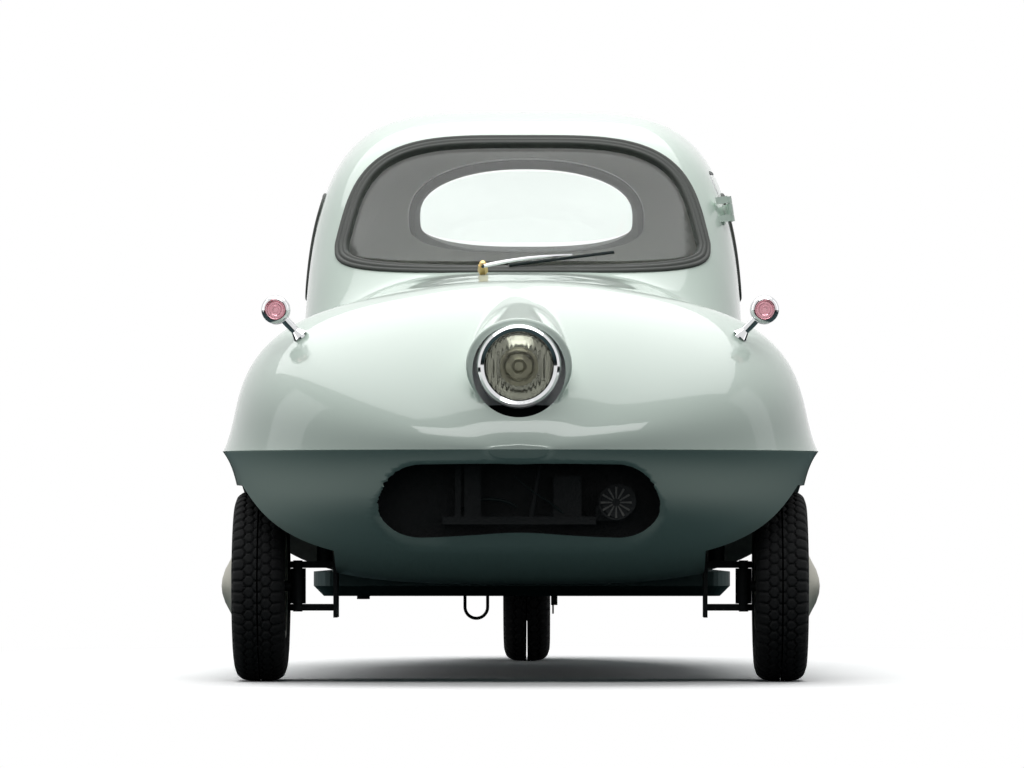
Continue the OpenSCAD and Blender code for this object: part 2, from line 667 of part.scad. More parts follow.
// Pockets that the pads are let into
module fixed_pockets() { for (s = [-1, 1]) translate([0, 0, barrel_mid(s)]) pad(END_L, -1, seat_gap); }
module moving_pocket() { pad(MIDDLE_L, 1, seat_gap); }
module fixed_hinge() {
  cylinder(d = HINGE_PIN_D, h = HINGE_L - 2, center = true, $fn = 32);
  for (s = [-1, 1]) translate([0, 0, barrel_mid(s)]) {
    cylinder(d = BARREL_D, h = END_L, center = true, $fn = 32);
    leaf(END_L, -1);
  }
}
module moving_hinge() {
  difference() {
    union() {
      cylinder(d = BARREL_D, h = MIDDLE_L, center = true, $fn = 32);
      leaf(MIDDLE_L, 1);
    }
    cylinder(d = HINGE_PIN_D + 2 * PIN_GAP, h = MIDDLE_L + 2, center = true, $fn = 32);
  }
}
module body_hinges() {
  color([0.55, 0.57, 0.56]) {
    at_door_hinges() fixed_hinge();
    at_lid_hinges() fixed_hinge();
  }
}
module door_leaves() { color([0.55, 0.57, 0.56]) at_door_hinges() moving_hinge(); }
module lid_leaves() { color([0.55, 0.57, 0.56]) at_lid_hinges() moving_hinge(); }
HANDLE_YZ = [262, 770];
handle_at =
  let (y = HANDLE_YZ[0] * SY, z = ledge_height + (HANDLE_YZ[1] - LEDGE_BASE) * S_UP)
  [side_x_at(y, z), y, z];
module handle_boss(grow) { rod(handle_at - [10, 0, 0], handle_at + [26, 0, 0], 18 + 2 * grow); }
module door_handle() {
  color([0.75, 0.76, 0.76]) {
    handle_boss(0);
    rod(handle_at + [20, 8, 0], handle_at + [20, -84, 0], 11);
  }
}

// Lamps. Each profile is radius, then distance forward
module face_front(at) { translate(at) rotate([90, 0, 0]) rotate_extrude($fn = 96) children(); }
BEZEL_DEEP = 26;
module headlight_bezel() {
  r = bezel_d / 2;
  color([0.8, 0.8, 0.8]) face_front([0, nacelle_y - seat_gap, headlight_z]) {
    polygon([
      [LENS_R, 0], [r, 0], [r, 10], [r - 3, 19], [r - 8, BEZEL_DEEP], [LENS_R, 22]
    ]);
    polygon([
      [LENS_R, 1], [lamp_hole_r - 1, 1], [lamp_hole_r - 7, -30], [38, -58], [0, -64],
      [0, -61], [36, -55], [lamp_hole_r - 10, -29], [LENS_R, -6]
    ]);
  }
}
module headlight_lens() {
  color([0.8, 0.85, 0.85, 0.5]) face_front([0, nacelle_y, headlight_z])
    polygon([[0, 14], [LENS_R - seat_gap, 14], [LENS_R - seat_gap, 18], [50, 21], [25, 23], [0, 23.5]]);
}
SIDE_LAMP_Y = -1130;
SIDE_LAMP_Z = 722;
STALK = [52, 0, 56];
STALK_D = 18;
side_lamp_foot =
  let (z = ledge_height + (SIDE_LAMP_Z - LEDGE_BASE) * S_UP, y = SIDE_LAMP_Y * SY)
  [side_x_at(y, z), y, z];
module mirrored() {
  children();
  mirror([1, 0, 0]) children();
}
module side_lamp_feet(grow) {
  mirrored() {
    rod(side_lamp_foot - STALK * 0.13, side_lamp_foot + STALK * 0.2, STALK_D + 2 * grow);
    cone(side_lamp_foot - STALK * 0.01, side_lamp_foot + STALK * 0.26, STALK_D * 2 + 2 * grow, STALK_D);
  }
}
module side_lamps() {
  top = side_lamp_foot + STALK;
  color([0.8, 0.8, 0.8]) mirrored() {
    rod(side_lamp_foot - STALK * 0.12, top - STALK * 0.2, STALK_D);
    cone(side_lamp_foot, side_lamp_foot + STALK * 0.25, STALK_D * 2, STALK_D - 3);
    translate(top + [0, 14, 0]) rotate([90, 0, 0]) cylinder(d = side_lamp_d, h = 28, $fn = 48);
    translate(top + [0, 26, 0]) rotate([90, 0, 0]) cylinder(d1 = side_lamp_d * 0.6, d2 = side_lamp_d, h = 12, $fn = 48);
  }
}
module side_lamp_lenses() {
  top = side_lamp_foot + STALK;
  color([0.85, 0.35, 0.4, 0.8]) mirrored() face_front(top - [0, 14, 0])
    polygon([[0, 0], [side_lamp_d / 2 - 2, 0], [side_lamp_d / 2 - 2, 5], [side_lamp_d / 3, 10], [0, 13]]);
}
module tail_lamps() {
  color([0.7, 0.1, 0.08]) mirrored()
    translate([tail_lamp_at[0], tail_lamp_at[1] - 38, tail_lamp_at[2]]) rotate([-90, 0, 0])
      cylinder(d = tail_lamp_d, h = 60, $fn = 48);
}
module number_plate() {
  color([0.85, 0.86, 0.84]) difference() {
    union() {
      block([-plate_w / 2, plate_y - PLATE_T, plate_z - plate_h / 2], [plate_w / 2, plate_y, plate_z + plate_h / 2]);
      plate_bosses(0);
    }
    for (side = [-1, 1])
      translate([side * plate_pitch / 2, plate_y - 16, plate_z]) rotate([-90, 0, 0])
        cylinder(d = plate_hole_d, h = 20, $fn = 48);
  }
}
BOSS_D = 18;
module plate_bosses(grow) {
  for (side = [-1, 1])
    translate([side * plate_pitch / 2, plate_y - PLATE_T - 70, plate_z]) rotate([-90, 0, 0])
      cylinder(d = BOSS_D + 2 * grow, h = 70, $fn = 32);
}

// Wiper: pivot at the windscreen's foot, arm to the clip, and the blade
function on_glass(x, z0, out) = let (z = ledge_height + (z0 - LEDGE_BASE) * S_UP) [x, front_y_at(x, z) - out, z];
wiper_pivot = on_glass(-83, 866, 0);
// Distance of the arm and the blade in front of the skin
WIPER_OUT = 23;
module wiper_spindle(grow) { rod(wiper_pivot + [0, 10, -10], wiper_pivot + [0, -22, 22], 14 + 2 * grow); }
module wiper() {
  clip = on_glass(108, 916, WIPER_OUT);
  tips = [on_glass(-28, 893, WIPER_OUT), on_glass(200, 923, WIPER_OUT)];
  color([0.2, 0.2, 0.2]) {
    wiper_spindle(0);
    rod(wiper_pivot + [0, -18, 18], clip, 7);
    rod(clip + [-2, 6, 0], clip + [2, -4, 0], 12);
    rod(tips[0], tips[1], 9);
  }
}

// Front suspension: a plate on each wheel well's inner wall, with two short arms to the king pin
king_x = wheel_x - king_pin_inset;
ARM_Z = [148, 238];
ARM_T = 14;
EYE_D = 38;
module suspension_arm(z) {
  block([well_x + 8, front_y - 15, z], [king_x, front_y + 15, z + ARM_T]);
  translate([king_x, front_y, z]) cylinder(d = EYE_D, h = ARM_T, $fn = 48);
}
module front_suspension() {
  color([0.15, 0.16, 0.16]) mirrored() difference() {
    union() {
      block([well_x, front_y - 60, ARM_Z[0] - 14], [well_x + 8, front_y + 60, ARM_Z[1] + 30]);
      for (z = ARM_Z) suspension_arm(z);
    }
    translate([king_x, front_y, ARM_Z[0] - 5]) cylinder(d = king_pin_d + 2 * PIN_GAP, h = 120, $fn = 48);
  }
}
SPRING_D = 34;
module front_springs() {
  z0 = ARM_Z[1] + ARM_T;
  z1 = axle_z + sqrt(arch_r * arch_r - SPRING_D * SPRING_D / 4) - 2 * seat_gap;
  color([0.10, 0.11, 0.11]) mirrored() {
    translate([well_x + 28, front_y, z0]) cylinder(d = SPRING_D, h = z1 - z0, $fn = 48);
  }
}
module knuckle() {
  z0 = ARM_Z[0] + ARM_T + 1;
  z1 = ARM_Z[1] - 1;
  translate([king_x, front_y, z0]) cylinder(d = 34, h = z1 - z0, $fn = 48);
  translate([king_x, front_y, ARM_Z[0] - 2]) cylinder(d = king_pin_d, h = ARM_Z[1] + ARM_T + 4 - ARM_Z[0], $fn = 48);
  translate([king_x, front_y, axle_z]) rotate([0, 90, 0]) cylinder(d = axle_d, h = wheel_x + 36 - king_x, $fn = 48);
  translate([wheel_x - 40, front_y, axle_z]) rotate([0, 90, 0]) cylinder(r = rim_d / 2 - 36, h = 4, $fn = 64);
  block([king_x - 9, front_y, axle_z + 6], [king_x + 9, front_y + 112, axle_z + 18]);
  translate([king_x, front_y + 112, axle_z]) cylinder(d = 20, h = 30, $fn = 32);
}
module knuckle_left() { color([0.15, 0.16, 0.16]) knuckle(); }
module knuckle_right() { color([0.15, 0.16, 0.16]) mirror([1, 0, 0]) knuckle(); }

// Wheels. Each profile is radius, then distance outward from the wheel's middle
module turned(at) { translate(at) rotate([0, 90, 0]) rotate_extrude($fn = 96) children(); }
rim_r = rim_d / 2;
FLANGE = 9;
well_w = tyre_w * 0.84 / 2;
axle_bore = axle_d / 2 + PIN_GAP;
HUB_R = 34;
// Tyre section: height up the sidewall, and half width, each as a share
TYRE = [[0, 0.835], [0.09, 0.84], [0.26, 0.965], [0.48, 1], [0.71, 0.98], [0.88, 0.88], [0.97, 0.68], [1, 0.36]];
module tyre(at) {
  side = [for (p = TYRE) [rim_r + p[0] * (axle_z - rim_r), p[1] * tyre_w / 2]];
  n = len(side) - 1;
  color([0.08, 0.08, 0.08]) turned(at) polygon(concat([for (p = side) [p[0], -p[1]]], [for (i = [0 : n]) side[n - i]]));
}
module rim_barrel() {
  r = rim_r;
  w = well_w;
  polygon([
    [r - 5, -w - 4], [r + FLANGE - 1, -w - 4], [r + FLANGE - 1, -w - 1], [r, -w], [r, w],
    [r + FLANGE - 1, w + 1], [r + FLANGE - 1, w + 4], [r - 5, w + 4]
  ]);
}
CAP_OUT = 84;
CAP_T = 2;
// Hubcap: radius as a share of its rim, and height as a share of its rise
CAP_SHAPE = [[0.96, 0], [0.86, 0.13], [0.68, 0.28], [0.54, 0.48], [0.36, 0.76], [0.17, 0.94], [0, 1]];
module front_rim() {
  r = rim_r - 5;
  rise = CAP_OUT - well_w - 3;
  turned([wheel_x, front_y, axle_z]) {
    rim_barrel();
    polygon([[HUB_R - 1, 5], [r + 1, 5], [r + 1, 12], [HUB_R - 1, 12]]);
    polygon([[HUB_R - 1, -30], [rim_r - 35, -30], [rim_r - 35, 6], [HUB_R - 1, 6]]);
    polygon([[axle_bore, -30], [HUB_R, -30], [HUB_R, 38], [axle_bore, 38]]);
    polygon(concat(
      [[r + 1, 42], [r + 1, well_w + 3]],
      [for (p = CAP_SHAPE) [p[0] * r, well_w + 3 + p[1] * rise]],
      [for (i = [len(CAP_SHAPE) - 1 : -1 : 0])
        [max(CAP_SHAPE[i][0] * r - CAP_T, 0), well_w + 3 - CAP_T + CAP_SHAPE[i][1] * rise]],
      [[r - 3, 42]]
    ));
  }
}
module rim_left() { color([0.80, 0.79, 0.70]) front_rim(); }
module rim_right() { color([0.80, 0.79, 0.70]) mirror([1, 0, 0]) front_rim(); }
module tyre_left() { tyre([wheel_x, front_y, axle_z]); }
module tyre_right() { mirror([1, 0, 0]) tyre([wheel_x, front_y, axle_z]); }

// Rear wheel on its swing arm
ARM_X = 92;
PIVOT_Z = 245;
pivot_y = rear_y - RUN + 34;
ARM_D = 24;
EYE_HALF = 15;
module rim_rear() {
  color([0.80, 0.79, 0.70]) turned([0, rear_y, axle_z]) {
    rim_barrel();
    polygon([[HUB_R - 1, -4], [rim_r - 4, -4], [rim_r - 4, 4], [HUB_R - 1, 4]]);
    polygon([[HUB_R - 1, -44], [rim_r - 30, -44], [rim_r - 30, -3], [HUB_R - 1, -3]]);
    polygon([[HUB_R - 1, 61], [rim_r - 16, 61], [rim_r - 16, 65], [HUB_R - 1, 65]]);
    polygon([[axle_bore, -60], [HUB_R, -60], [HUB_R, 68], [axle_bore, 68]]);
  }
}
module tyre_rear() { tyre([0, rear_y, axle_z]); }
module swing_arm() {
  color([0.15, 0.16, 0.16]) {
    for (side = [-1, 1]) {
      rod([side * ARM_X, pivot_y, PIVOT_Z], [side * ARM_X, rear_y, axle_z], ARM_D);
      rod([side * (ARM_X - EYE_HALF), rear_y, axle_z], [side * (ARM_X + EYE_HALF), rear_y, axle_z], EYE_D);
    }
    rod([rear_well[0][0], pivot_y, PIVOT_Z], [rear_well[1][0], pivot_y, PIVOT_Z], 34);
    rod([-ARM_X, rear_y, axle_z], [ARM_X, rear_y, axle_z], axle_d);
  }
}
DAMPER_D = 26;
DAMPER_BACK = 90;
module rear_springs() {
  y = rear_y - DAMPER_BACK;
  drop = (PIVOT_Z - axle_z) * DAMPER_BACK / (rear_y - pivot_y);
  z0 = axle_z + drop + ARM_D / 2 + 2.3;
  color([0.10, 0.11, 0.11])
    for (side = [-1, 1]) translate([side * ARM_X, y, z0]) cylinder(d = DAMPER_D, h = rear_well[1][2] - z0, $fn = 48);
}
engine_y = [bulk_y + BULK_T + 10, rear_y - RUN - LINER - 6];
ENGINE_HALF = 165;
engine_z = max([for (y = engine_y) belly_z_at(ENGINE_HALF, y, wall)]) + seat_gap;
module engine() {
  color([0.45, 0.46, 0.46]) block([-ENGINE_HALF, engine_y[0], engine_z], [ENGINE_HALF, engine_y[1], engine_z + 310]);
}
EXHAUST_X = -215;
exhaust_y = [rear_y - 180, rear_y + 170];
exhaust_z = 192;
module exhaust() {
  strap_y = exhaust_y[0] + 60;
  top = min([for (dx = [-6, 6], dy = [-6, 6]) belly_z_at(abs(EXHAUST_X) + dx, strap_y + dy)]) - 3 * seat_gap;
  color([0.35, 0.33, 0.30]) {
    rod([EXHAUST_X, exhaust_y[0], exhaust_z], [EXHAUST_X, exhaust_y[1], exhaust_z], 64);
    rod([EXHAUST_X, exhaust_y[1] - 5, exhaust_z], [EXHAUST_X, exhaust_y[1] + 130, exhaust_z], 26);
    rod([EXHAUST_X, exhaust_y[0] + 5, exhaust_z], [EXHAUST_X + 20, exhaust_y[0] - 120, exhaust_z + 2], 28);
    rod([EXHAUST_X, strap_y, exhaust_z], [EXHAUST_X, strap_y, top], 12);
  }
}

// Steering wheel on its column, which leans forward and down to the steering box
STEER_AT = [-165, -335, 738];
COLUMN_LEAN = 60;
COLUMN_D = 28;
COLUMN_L = 650;
steer_at = [STEER_AT[0] * SX, STEER_AT[1] * SY, ledge_height + (STEER_AT[2] - LEDGE_BASE) * S_UP];
module steering_axis() { translate(steer_at) rotate([-COLUMN_LEAN, 0, 0]) children(); }
module steering_wheel() {
  r = steering_wheel_d / 2;
  color([0.85, 0.82, 0.72]) steering_axis() {
    rotate_extrude($fn = 96) translate([r - 11, 0]) circle(d = 22, $fn = 32);
    for (a = [90, 210, 330]) rotate([0, 90, a]) cylinder(d = 12, h = r - 12, $fn = 32);
    translate([0, 0, -22]) cylinder(d = 56, h = 34, $fn = 48);
    translate([0, 0, -COLUMN_L]) cylinder(d = COLUMN_D, h = COLUMN_L, $fn = 48);
  }
}
BOX_HALF = [35, 34];
module steering_box() {
  end = [steer_at[0], steer_at[1] - (COLUMN_L - 22) * sin(COLUMN_LEAN), steer_at[2] - (COLUMN_L - 22) * cos(COLUMN_LEAN)];
  floor_z = belly_z_at(abs(end[0]) + BOX_HALF[0], end[1], wall) + seat_gap;
  difference() {
    union() {
      block([end[0] - BOX_HALF[0], end[1] - BOX_HALF[1], floor_z], [end[0] + BOX_HALF[0], end[1] + BOX_HALF[1], end[2] + 30]);
      block([end[0] - 20, DASH_Y[1] * SY - DASH_T, steer_bracket_z - 30], [end[0] + 20, DASH_Y[1] * SY, dash_low]);
    }
    steering_axis() translate([0, 0, -COLUMN_L - 4]) cylinder(d = COLUMN_D + 2 * PIN_GAP, h = COLUMN_L, $fn = 48);
  }
}
dash_low = ledge_height + (DASH_Z[0] - LEDGE_BASE) * S_UP;
steer_bracket_z = steer_at[2] - (steer_at[1] - DASH_Y[1] * SY) / tan(COLUMN_LEAN);
PEDALS = [-275, -205, -60];
PEDAL_Y = -830;
// Start of a leaning pedal's rod above the floor, so that its edge just clears it
PEDAL_FOOT = 2.6;
GEAR_AT = [0, -205];
KICK_AT = [70, -260];
module controls() {
  color([0.3, 0.31, 0.31]) {
    steering_box();
    for (x = PEDALS) {
      floor_z = belly_z_at(abs(x), PEDAL_Y * SY, wall);
      rod([x, PEDAL_Y * SY, floor_z + PEDAL_FOOT], [x, PEDAL_Y * SY - 40, floor_z + 120], 12);
      translate([x, PEDAL_Y * SY - 40, floor_z + 128]) rotate([-30, 0, 0]) cube([46, 8, 60], center = true);
    }
    rod([GEAR_AT[0], GEAR_AT[1] * SY, pan_top + 4], [GEAR_AT[0], GEAR_AT[1] * SY - 40, pan_top + 260], 12);
    translate([GEAR_AT[0], GEAR_AT[1] * SY - 42, pan_top + 268]) sphere(d = 34, $fn = 32);
    translate([GEAR_AT[0], GEAR_AT[1] * SY, pan_top]) cylinder(d = 60, h = 8, $fn = 48);
    rod([KICK_AT[0] - 28, KICK_AT[1] * SY, pan_top], [KICK_AT[0] - 28, KICK_AT[1] * SY, pan_top + 150], 14);
    rod([KICK_AT[0] - 28, KICK_AT[1] * SY, pan_top + 145], [KICK_AT[0] - 28, KICK_AT[1] * SY - 70, pan_top + 160], 14);
  }
}
module speedometer() {
  x = steer_at[0];
  y = DASH_Y[1] * SY;
  z = dash_low + 78;
  color([0.8, 0.8, 0.78]) translate([x, y + seat_gap, z]) rotate([-90, 0, 0]) cylinder(d = 88, h = 16, $fn = 64);
}

// Fittings under the floor: tie loop, stud and drain plug
LOOP_X = [-123, -74];
LOOP_Y = -630;
LOOP_D = 7;
LOOP_DROP = 24;
module floor_fittings() {
  mid = (LOOP_X[0] + LOOP_X[1]) / 2;
  r = (LOOP_X[1] - LOOP_X[0]) / 2;
  color([0.2, 0.2, 0.2]) {
    for (x = LOOP_X) rod([x, LOOP_Y * SY, pan_z - LOOP_DROP], [x, LOOP_Y * SY, pan_z], LOOP_D);
    translate([mid, LOOP_Y * SY, pan_z - LOOP_DROP]) rotate([90, 0, 0]) rotate([0, 0, 180])
      rotate_extrude(angle = 180, $fn = 64) translate([r, 0]) circle(d = LOOP_D, $fn = 32);
    translate([70, -620 * SY, pan_z - 20]) cylinder(d = 14, h = 20, $fn = 32);
    translate([-345, -560 * SY, pan_z - 8]) cylinder(d = 28, h = 8, $fn = 32);
  }
}

upper_body();
lower_body();
floor_pan();
seat_frames();
dashboard();
speedometer();
rear_bulkhead();
nose_frame();
horn();
door();
door_glass();
door_seal();
door_leaves();
door_handle();
body_hinges();
windscreen();
windscreen_seal();
side_glass();
side_seal();
rear_window();
rear_window_seal();
engine_lid();
lid_leaves();
headlight_bezel();
headlight_lens();
side_lamps();
side_lamp_lenses();
tail_lamps();
number_plate();
wiper();
front_suspension();
front_springs();
knuckle_left();
knuckle_right();
rim_left();
tyre_left();
rim_right();
tyre_right();
swing_arm();
rear_springs();
rim_rear();
tyre_rear();
engine();
exhaust();
steering_wheel();
controls();
driver_seat();
passenger_seat();
floor_fittings();
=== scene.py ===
"""Looks of a glass-fibre three-wheeled microcar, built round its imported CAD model.

Shapes are worked out in millimetres, in the CAD's frame, and new_mesh stores them in metres.
"""
import math

import bmesh
import bpy
import numpy as np
from mathutils import Matrix, Vector


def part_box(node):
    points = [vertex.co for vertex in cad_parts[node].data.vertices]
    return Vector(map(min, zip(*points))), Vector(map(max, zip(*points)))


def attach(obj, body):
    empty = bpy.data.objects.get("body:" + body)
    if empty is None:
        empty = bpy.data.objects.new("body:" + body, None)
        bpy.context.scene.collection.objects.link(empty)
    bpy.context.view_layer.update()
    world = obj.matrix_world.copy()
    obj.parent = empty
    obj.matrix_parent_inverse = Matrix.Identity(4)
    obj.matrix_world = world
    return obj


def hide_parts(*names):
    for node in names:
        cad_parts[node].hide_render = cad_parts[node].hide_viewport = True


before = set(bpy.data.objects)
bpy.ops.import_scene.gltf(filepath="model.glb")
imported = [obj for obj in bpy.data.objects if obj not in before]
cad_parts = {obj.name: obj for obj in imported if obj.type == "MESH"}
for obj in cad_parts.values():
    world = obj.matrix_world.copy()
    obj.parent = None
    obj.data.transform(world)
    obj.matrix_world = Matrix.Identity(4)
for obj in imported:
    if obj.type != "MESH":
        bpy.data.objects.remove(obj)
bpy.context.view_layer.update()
MM = 0.001


# ---------------------------------------------------------------- camera, light and floor

FRONT_AXLE_Y = -0.99


def make_camera():
    """A long lens, low in front of the car, a little to the car's left and turned back to it."""
    camera = bpy.data.cameras.new("camera")
    camera.sensor_width = 36
    camera.lens = 233.3
    camera.clip_end = 200
    eye = bpy.data.objects.new("camera", camera)
    eye.location = (0.106, FRONT_AXLE_Y - 14, 0.34)
    eye.rotation_euler = (math.radians(90 + 1.17), 0, math.radians(0.508))
    bpy.context.scene.collection.objects.link(eye)
    bpy.context.scene.camera = eye


# Name, place, aim, width and length, power
LIGHTS = (
    ("top_soft", (-0.2, 0.5, 4.2), (0, 0.1, 0.6), (5.0, 5.6), 185),
    ("left_strip", (-4.6, -1.2, 2.3), (0, -0.4, 0.7), (2.2, 5.0), 34),
    ("right_strip", (4.6, -0.6, 2.2), (0, -0.3, 0.7), (1.4, 5.0), 16),
    ("front_high", (0.3, -5.0, 5.2), (0, -1.0, 0.6), (4.5, 1.4), 95))


def area_light(name, at, aim, size, power):
    lamp = bpy.data.lights.new(name, "AREA")
    lamp.shape = "RECTANGLE"
    lamp.size, lamp.size_y = size
    lamp.energy = power
    obj = bpy.data.objects.new(name, lamp)
    obj.location = at
    obj.rotation_euler = (Vector(aim) - Vector(at)).to_track_quat("-Z", "Y").to_euler()
    bpy.context.scene.collection.objects.link(obj)


def add_node(tree, kind, **values):
    """A shader node with its input values set, spaces in the sockets' names written as underscores."""
    node = tree.nodes.new("ShaderNode" + kind)
    for socket, value in values.items():
        node.inputs[socket.replace("_", " ")].default_value = value
    return node


def join(tree, *pairs):
    """Links each output to its input."""
    for start, end in pairs:
        tree.links.new(start, end)


def rays_to_background(tree, *kinds):
    """1 for a ray of one of these kinds, such as Camera, else 0."""
    path = add_node(tree, "LightPath")
    total = path.outputs[f"Is {kinds[0]} Ray"]
    for kind in kinds[1:]:
        either = tree.nodes.new("ShaderNodeMath")
        either.operation = "MAXIMUM"
        join(tree, (total, either.inputs[0]), (path.outputs[f"Is {kind} Ray"], either.inputs[1]))
        total = either.outputs[0]
    return total


FILL, FILL_POWER = (0.80, 0.92, 1.0, 1), 0.05


def make_world():
    """A weak bluish fill, which the camera, shiny surfaces and glass see as white."""
    world = bpy.data.worlds.new("studio")
    bpy.context.scene.world = world
    world.use_nodes = True
    tree = world.node_tree
    tree.nodes.clear()
    fill = add_node(tree, "Background", Color=FILL, Strength=FILL_POWER)
    white = add_node(tree, "Background", Color=(1, 1, 1, 1))
    mix = add_node(tree, "MixShader")
    out = add_node(tree, "OutputWorld")
    seen = rays_to_background(tree, "Camera", "Glossy", "Transmission")
    join(tree, (seen, mix.inputs[0]), (fill.outputs[0], mix.inputs[1]), (white.outputs[0], mix.inputs[2]),
         (mix.outputs[0], out.inputs[0]))


FLOOR_R, FLOOR_LIT, FLOOR_DIM = 90, (1.5, 1.5, 1.5, 1), (0.055, 0.085, 0.09, 1)
SHADOW_SHAPE, SHADOW_FROM, SHADOW_TO = (1.0, 0.75, 0), 0.9, 2.2


def make_floor():
    """White floor: lit and shadowed round the car, plain white further out, and dark to bounced light."""
    bpy.ops.mesh.primitive_circle_add(vertices=96, radius=FLOOR_R, fill_type="NGON", location=(0, 0, 0))
    floor = bpy.context.object
    floor.name = "floor"
    mat = bpy.data.materials.new("floor_white")
    mat.use_nodes = True
    tree = mat.node_tree
    tree.nodes.clear()
    lit = add_node(tree, "BsdfDiffuse", Color=FLOOR_LIT)
    dim = add_node(tree, "BsdfDiffuse", Color=FLOOR_DIM)
    plain = add_node(tree, "Emission", Strength=1.0)
    where = add_node(tree, "NewGeometry")
    flat = tree.nodes.new("ShaderNodeVectorMath")
    flat.operation = "MULTIPLY"
    flat.inputs[1].default_value = SHADOW_SHAPE
    reach = tree.nodes.new("ShaderNodeVectorMath")
    reach.operation = "LENGTH"
    edge = add_node(tree, "MapRange", From_Min=SHADOW_FROM, From_Max=SHADOW_TO)
    edge.interpolation_type = "SMOOTHERSTEP"
    far = add_node(tree, "MixShader")
    bounce = add_node(tree, "MixShader")
    out = add_node(tree, "OutputMaterial")
    join(tree, (where.outputs["Position"], flat.inputs[0]), (flat.outputs[0], reach.inputs[0]),
         (reach.outputs["Value"], edge.inputs["Value"]), (edge.outputs[0], far.inputs[0]),
         (lit.outputs[0], far.inputs[1]), (plain.outputs[0], far.inputs[2]),
         (rays_to_background(tree, "Camera", "Transmission"), bounce.inputs[0]),
         (dim.outputs[0], bounce.inputs[1]), (far.outputs[0], bounce.inputs[2]),
         (bounce.outputs[0], out.inputs[0]))
    floor.data.materials.append(mat)


make_camera()
for light in LIGHTS:
    area_light(*light)
make_world()
make_floor()
bpy.context.scene.view_settings.view_transform = "Standard"


# ---------------------------------------------------------------- materials

def srgb(r, g, b):
    """Linear colour of an 8-bit screen colour."""
    def linear(c):
        c /= 255
        return c / 12.92 if c <= 0.04045 else ((c + 0.055) / 1.055) ** 2.4
    return (linear(r), linear(g), linear(b), 1)


def material(name, colour, rough, metal=0.0, coat=0.0, spread=0.06, grain=40, rough_spread=0.06,
             bump=0.02, bump_scale=200, bump_kind="noise", **sockets):
    """A Principled material whose colour, roughness and relief vary with procedural noise."""
    mat = bpy.data.materials.new(name)
    mat.use_nodes = True
    tree = mat.node_tree
    shader = tree.nodes["Principled BSDF"]
    shader.inputs["Metallic"].default_value = metal
    shader.inputs["Coat Weight"].default_value = coat
    shader.inputs["Coat Roughness"].default_value = 0.04
    for socket, value in sockets.items():
        shader.inputs[socket.replace("_", " ")].default_value = value
    place = add_node(tree, "TexCoord").outputs["Object"]
    cloud = add_node(tree, "TexNoise", Scale=grain, Detail=6)
    tint = add_node(tree, "ValToRGB")
    for element, position, share in zip(tint.color_ramp.elements, (0.3, 0.7), (1 - spread, 1 + spread)):
        element.position = position
        element.color = [min(c * share, 1) for c in colour[:3]] + [1]
    gloss = add_node(tree, "MapRange", To_Min=max(rough - rough_spread, 0.01),
                     To_Max=min(rough + rough_spread, 1))
    relief = add_node(tree, "Bump", Strength=min(bump * 10, 1), Distance=MM)
    kind, output = {"weave": ("TexVoronoi", "Distance"), "noise": ("TexNoise", "Fac")}[bump_kind]
    grainy = add_node(tree, kind, Scale=bump_scale)
    join(tree, (place, cloud.inputs["Vector"]), (cloud.outputs["Fac"], tint.inputs["Fac"]),
         (tint.outputs["Color"], shader.inputs["Base Color"]), (cloud.outputs["Fac"], gloss.inputs["Value"]),
         (gloss.outputs[0], shader.inputs["Roughness"]), (place, grainy.inputs["Vector"]),
         (grainy.outputs[output], relief.inputs["Height"]), (relief.outputs[0], shader.inputs["Normal"]))
    return mat


def glass_material(name, colour, rough=0.0, ior=1.45, **sockets):
    mat = material(name, colour, rough, spread=0.01, rough_spread=0.004, bump=0.0005, bump_scale=3, **sockets)
    shader = mat.node_tree.nodes["Principled BSDF"]
    shader.inputs["Transmission Weight"].default_value = 1.0
    shader.inputs["IOR"].default_value = ior
    return mat


MINT = srgb(214, 230, 219)
PAINT = material("body_paint", MINT, 0.34, coat=0.8, spread=0.015, grain=3, rough_spread=0.04,
                 bump=0.0012, bump_scale=260, Specular_IOR_Level=0.25)
LINING = material("lining", srgb(150, 151, 145), 0.95, spread=0.10, grain=60, bump=0.05, bump_scale=900,
                  bump_kind="weave")
RUBBER = material("rubber_seal", srgb(52, 56, 52), 0.55, spread=0.15, grain=25, bump=0.03, bump_scale=700)
DARK = material("dark_paint", srgb(30, 40, 40), 0.6, spread=0.2, grain=30, bump=0.03, bump_scale=300,
                Specular_IOR_Level=0.2)
CHROME = material("chrome", (0.72, 0.73, 0.74, 1), 0.07, metal=1.0, spread=0.03, grain=80, rough_spread=0.03,
                  bump=0.001, bump_scale=60)
STEEL = material("bright_steel", (0.50, 0.51, 0.51, 1), 0.3, metal=1.0, spread=0.1, bump=0.01, bump_scale=400)
BLACK_STEEL = material("dark_steel", (0.016, 0.018, 0.019, 1), 0.6, spread=0.3, bump=0.05,
                       Specular_IOR_Level=0.2)
CAST = material("cast_metal", (0.30, 0.30, 0.29, 1), 0.55, metal=0.8, spread=0.2, bump=0.08, bump_scale=500)
CREAM = material("wheel_paint", srgb(206, 200, 178), 0.3, coat=0.6, spread=0.04, grain=30, bump=0.004)
TYRE = material("tyre", srgb(26, 27, 28), 0.8, spread=0.25, grain=120, bump=0.06, bump_scale=900,
                Specular_IOR_Level=0.25)
CLEAR = glass_material("window_glass", (0.93, 0.97, 0.95, 1), ior=1.0, coat=0.5)
LENS = glass_material("lens_glass", (0.62, 0.62, 0.55, 1), rough=0.05, ior=1.2)
PINK = glass_material("pink_lens", srgb(235, 170, 180), rough=0.05)
RED = glass_material("red_lens", srgb(190, 20, 20), rough=0.05)
PLASTIC = material("cream_plastic", srgb(205, 196, 170), 0.35, coat=0.3, spread=0.04, bump=0.004)
DIAL = material("dial", srgb(225, 222, 205), 0.5, spread=0.03, bump=0.003)
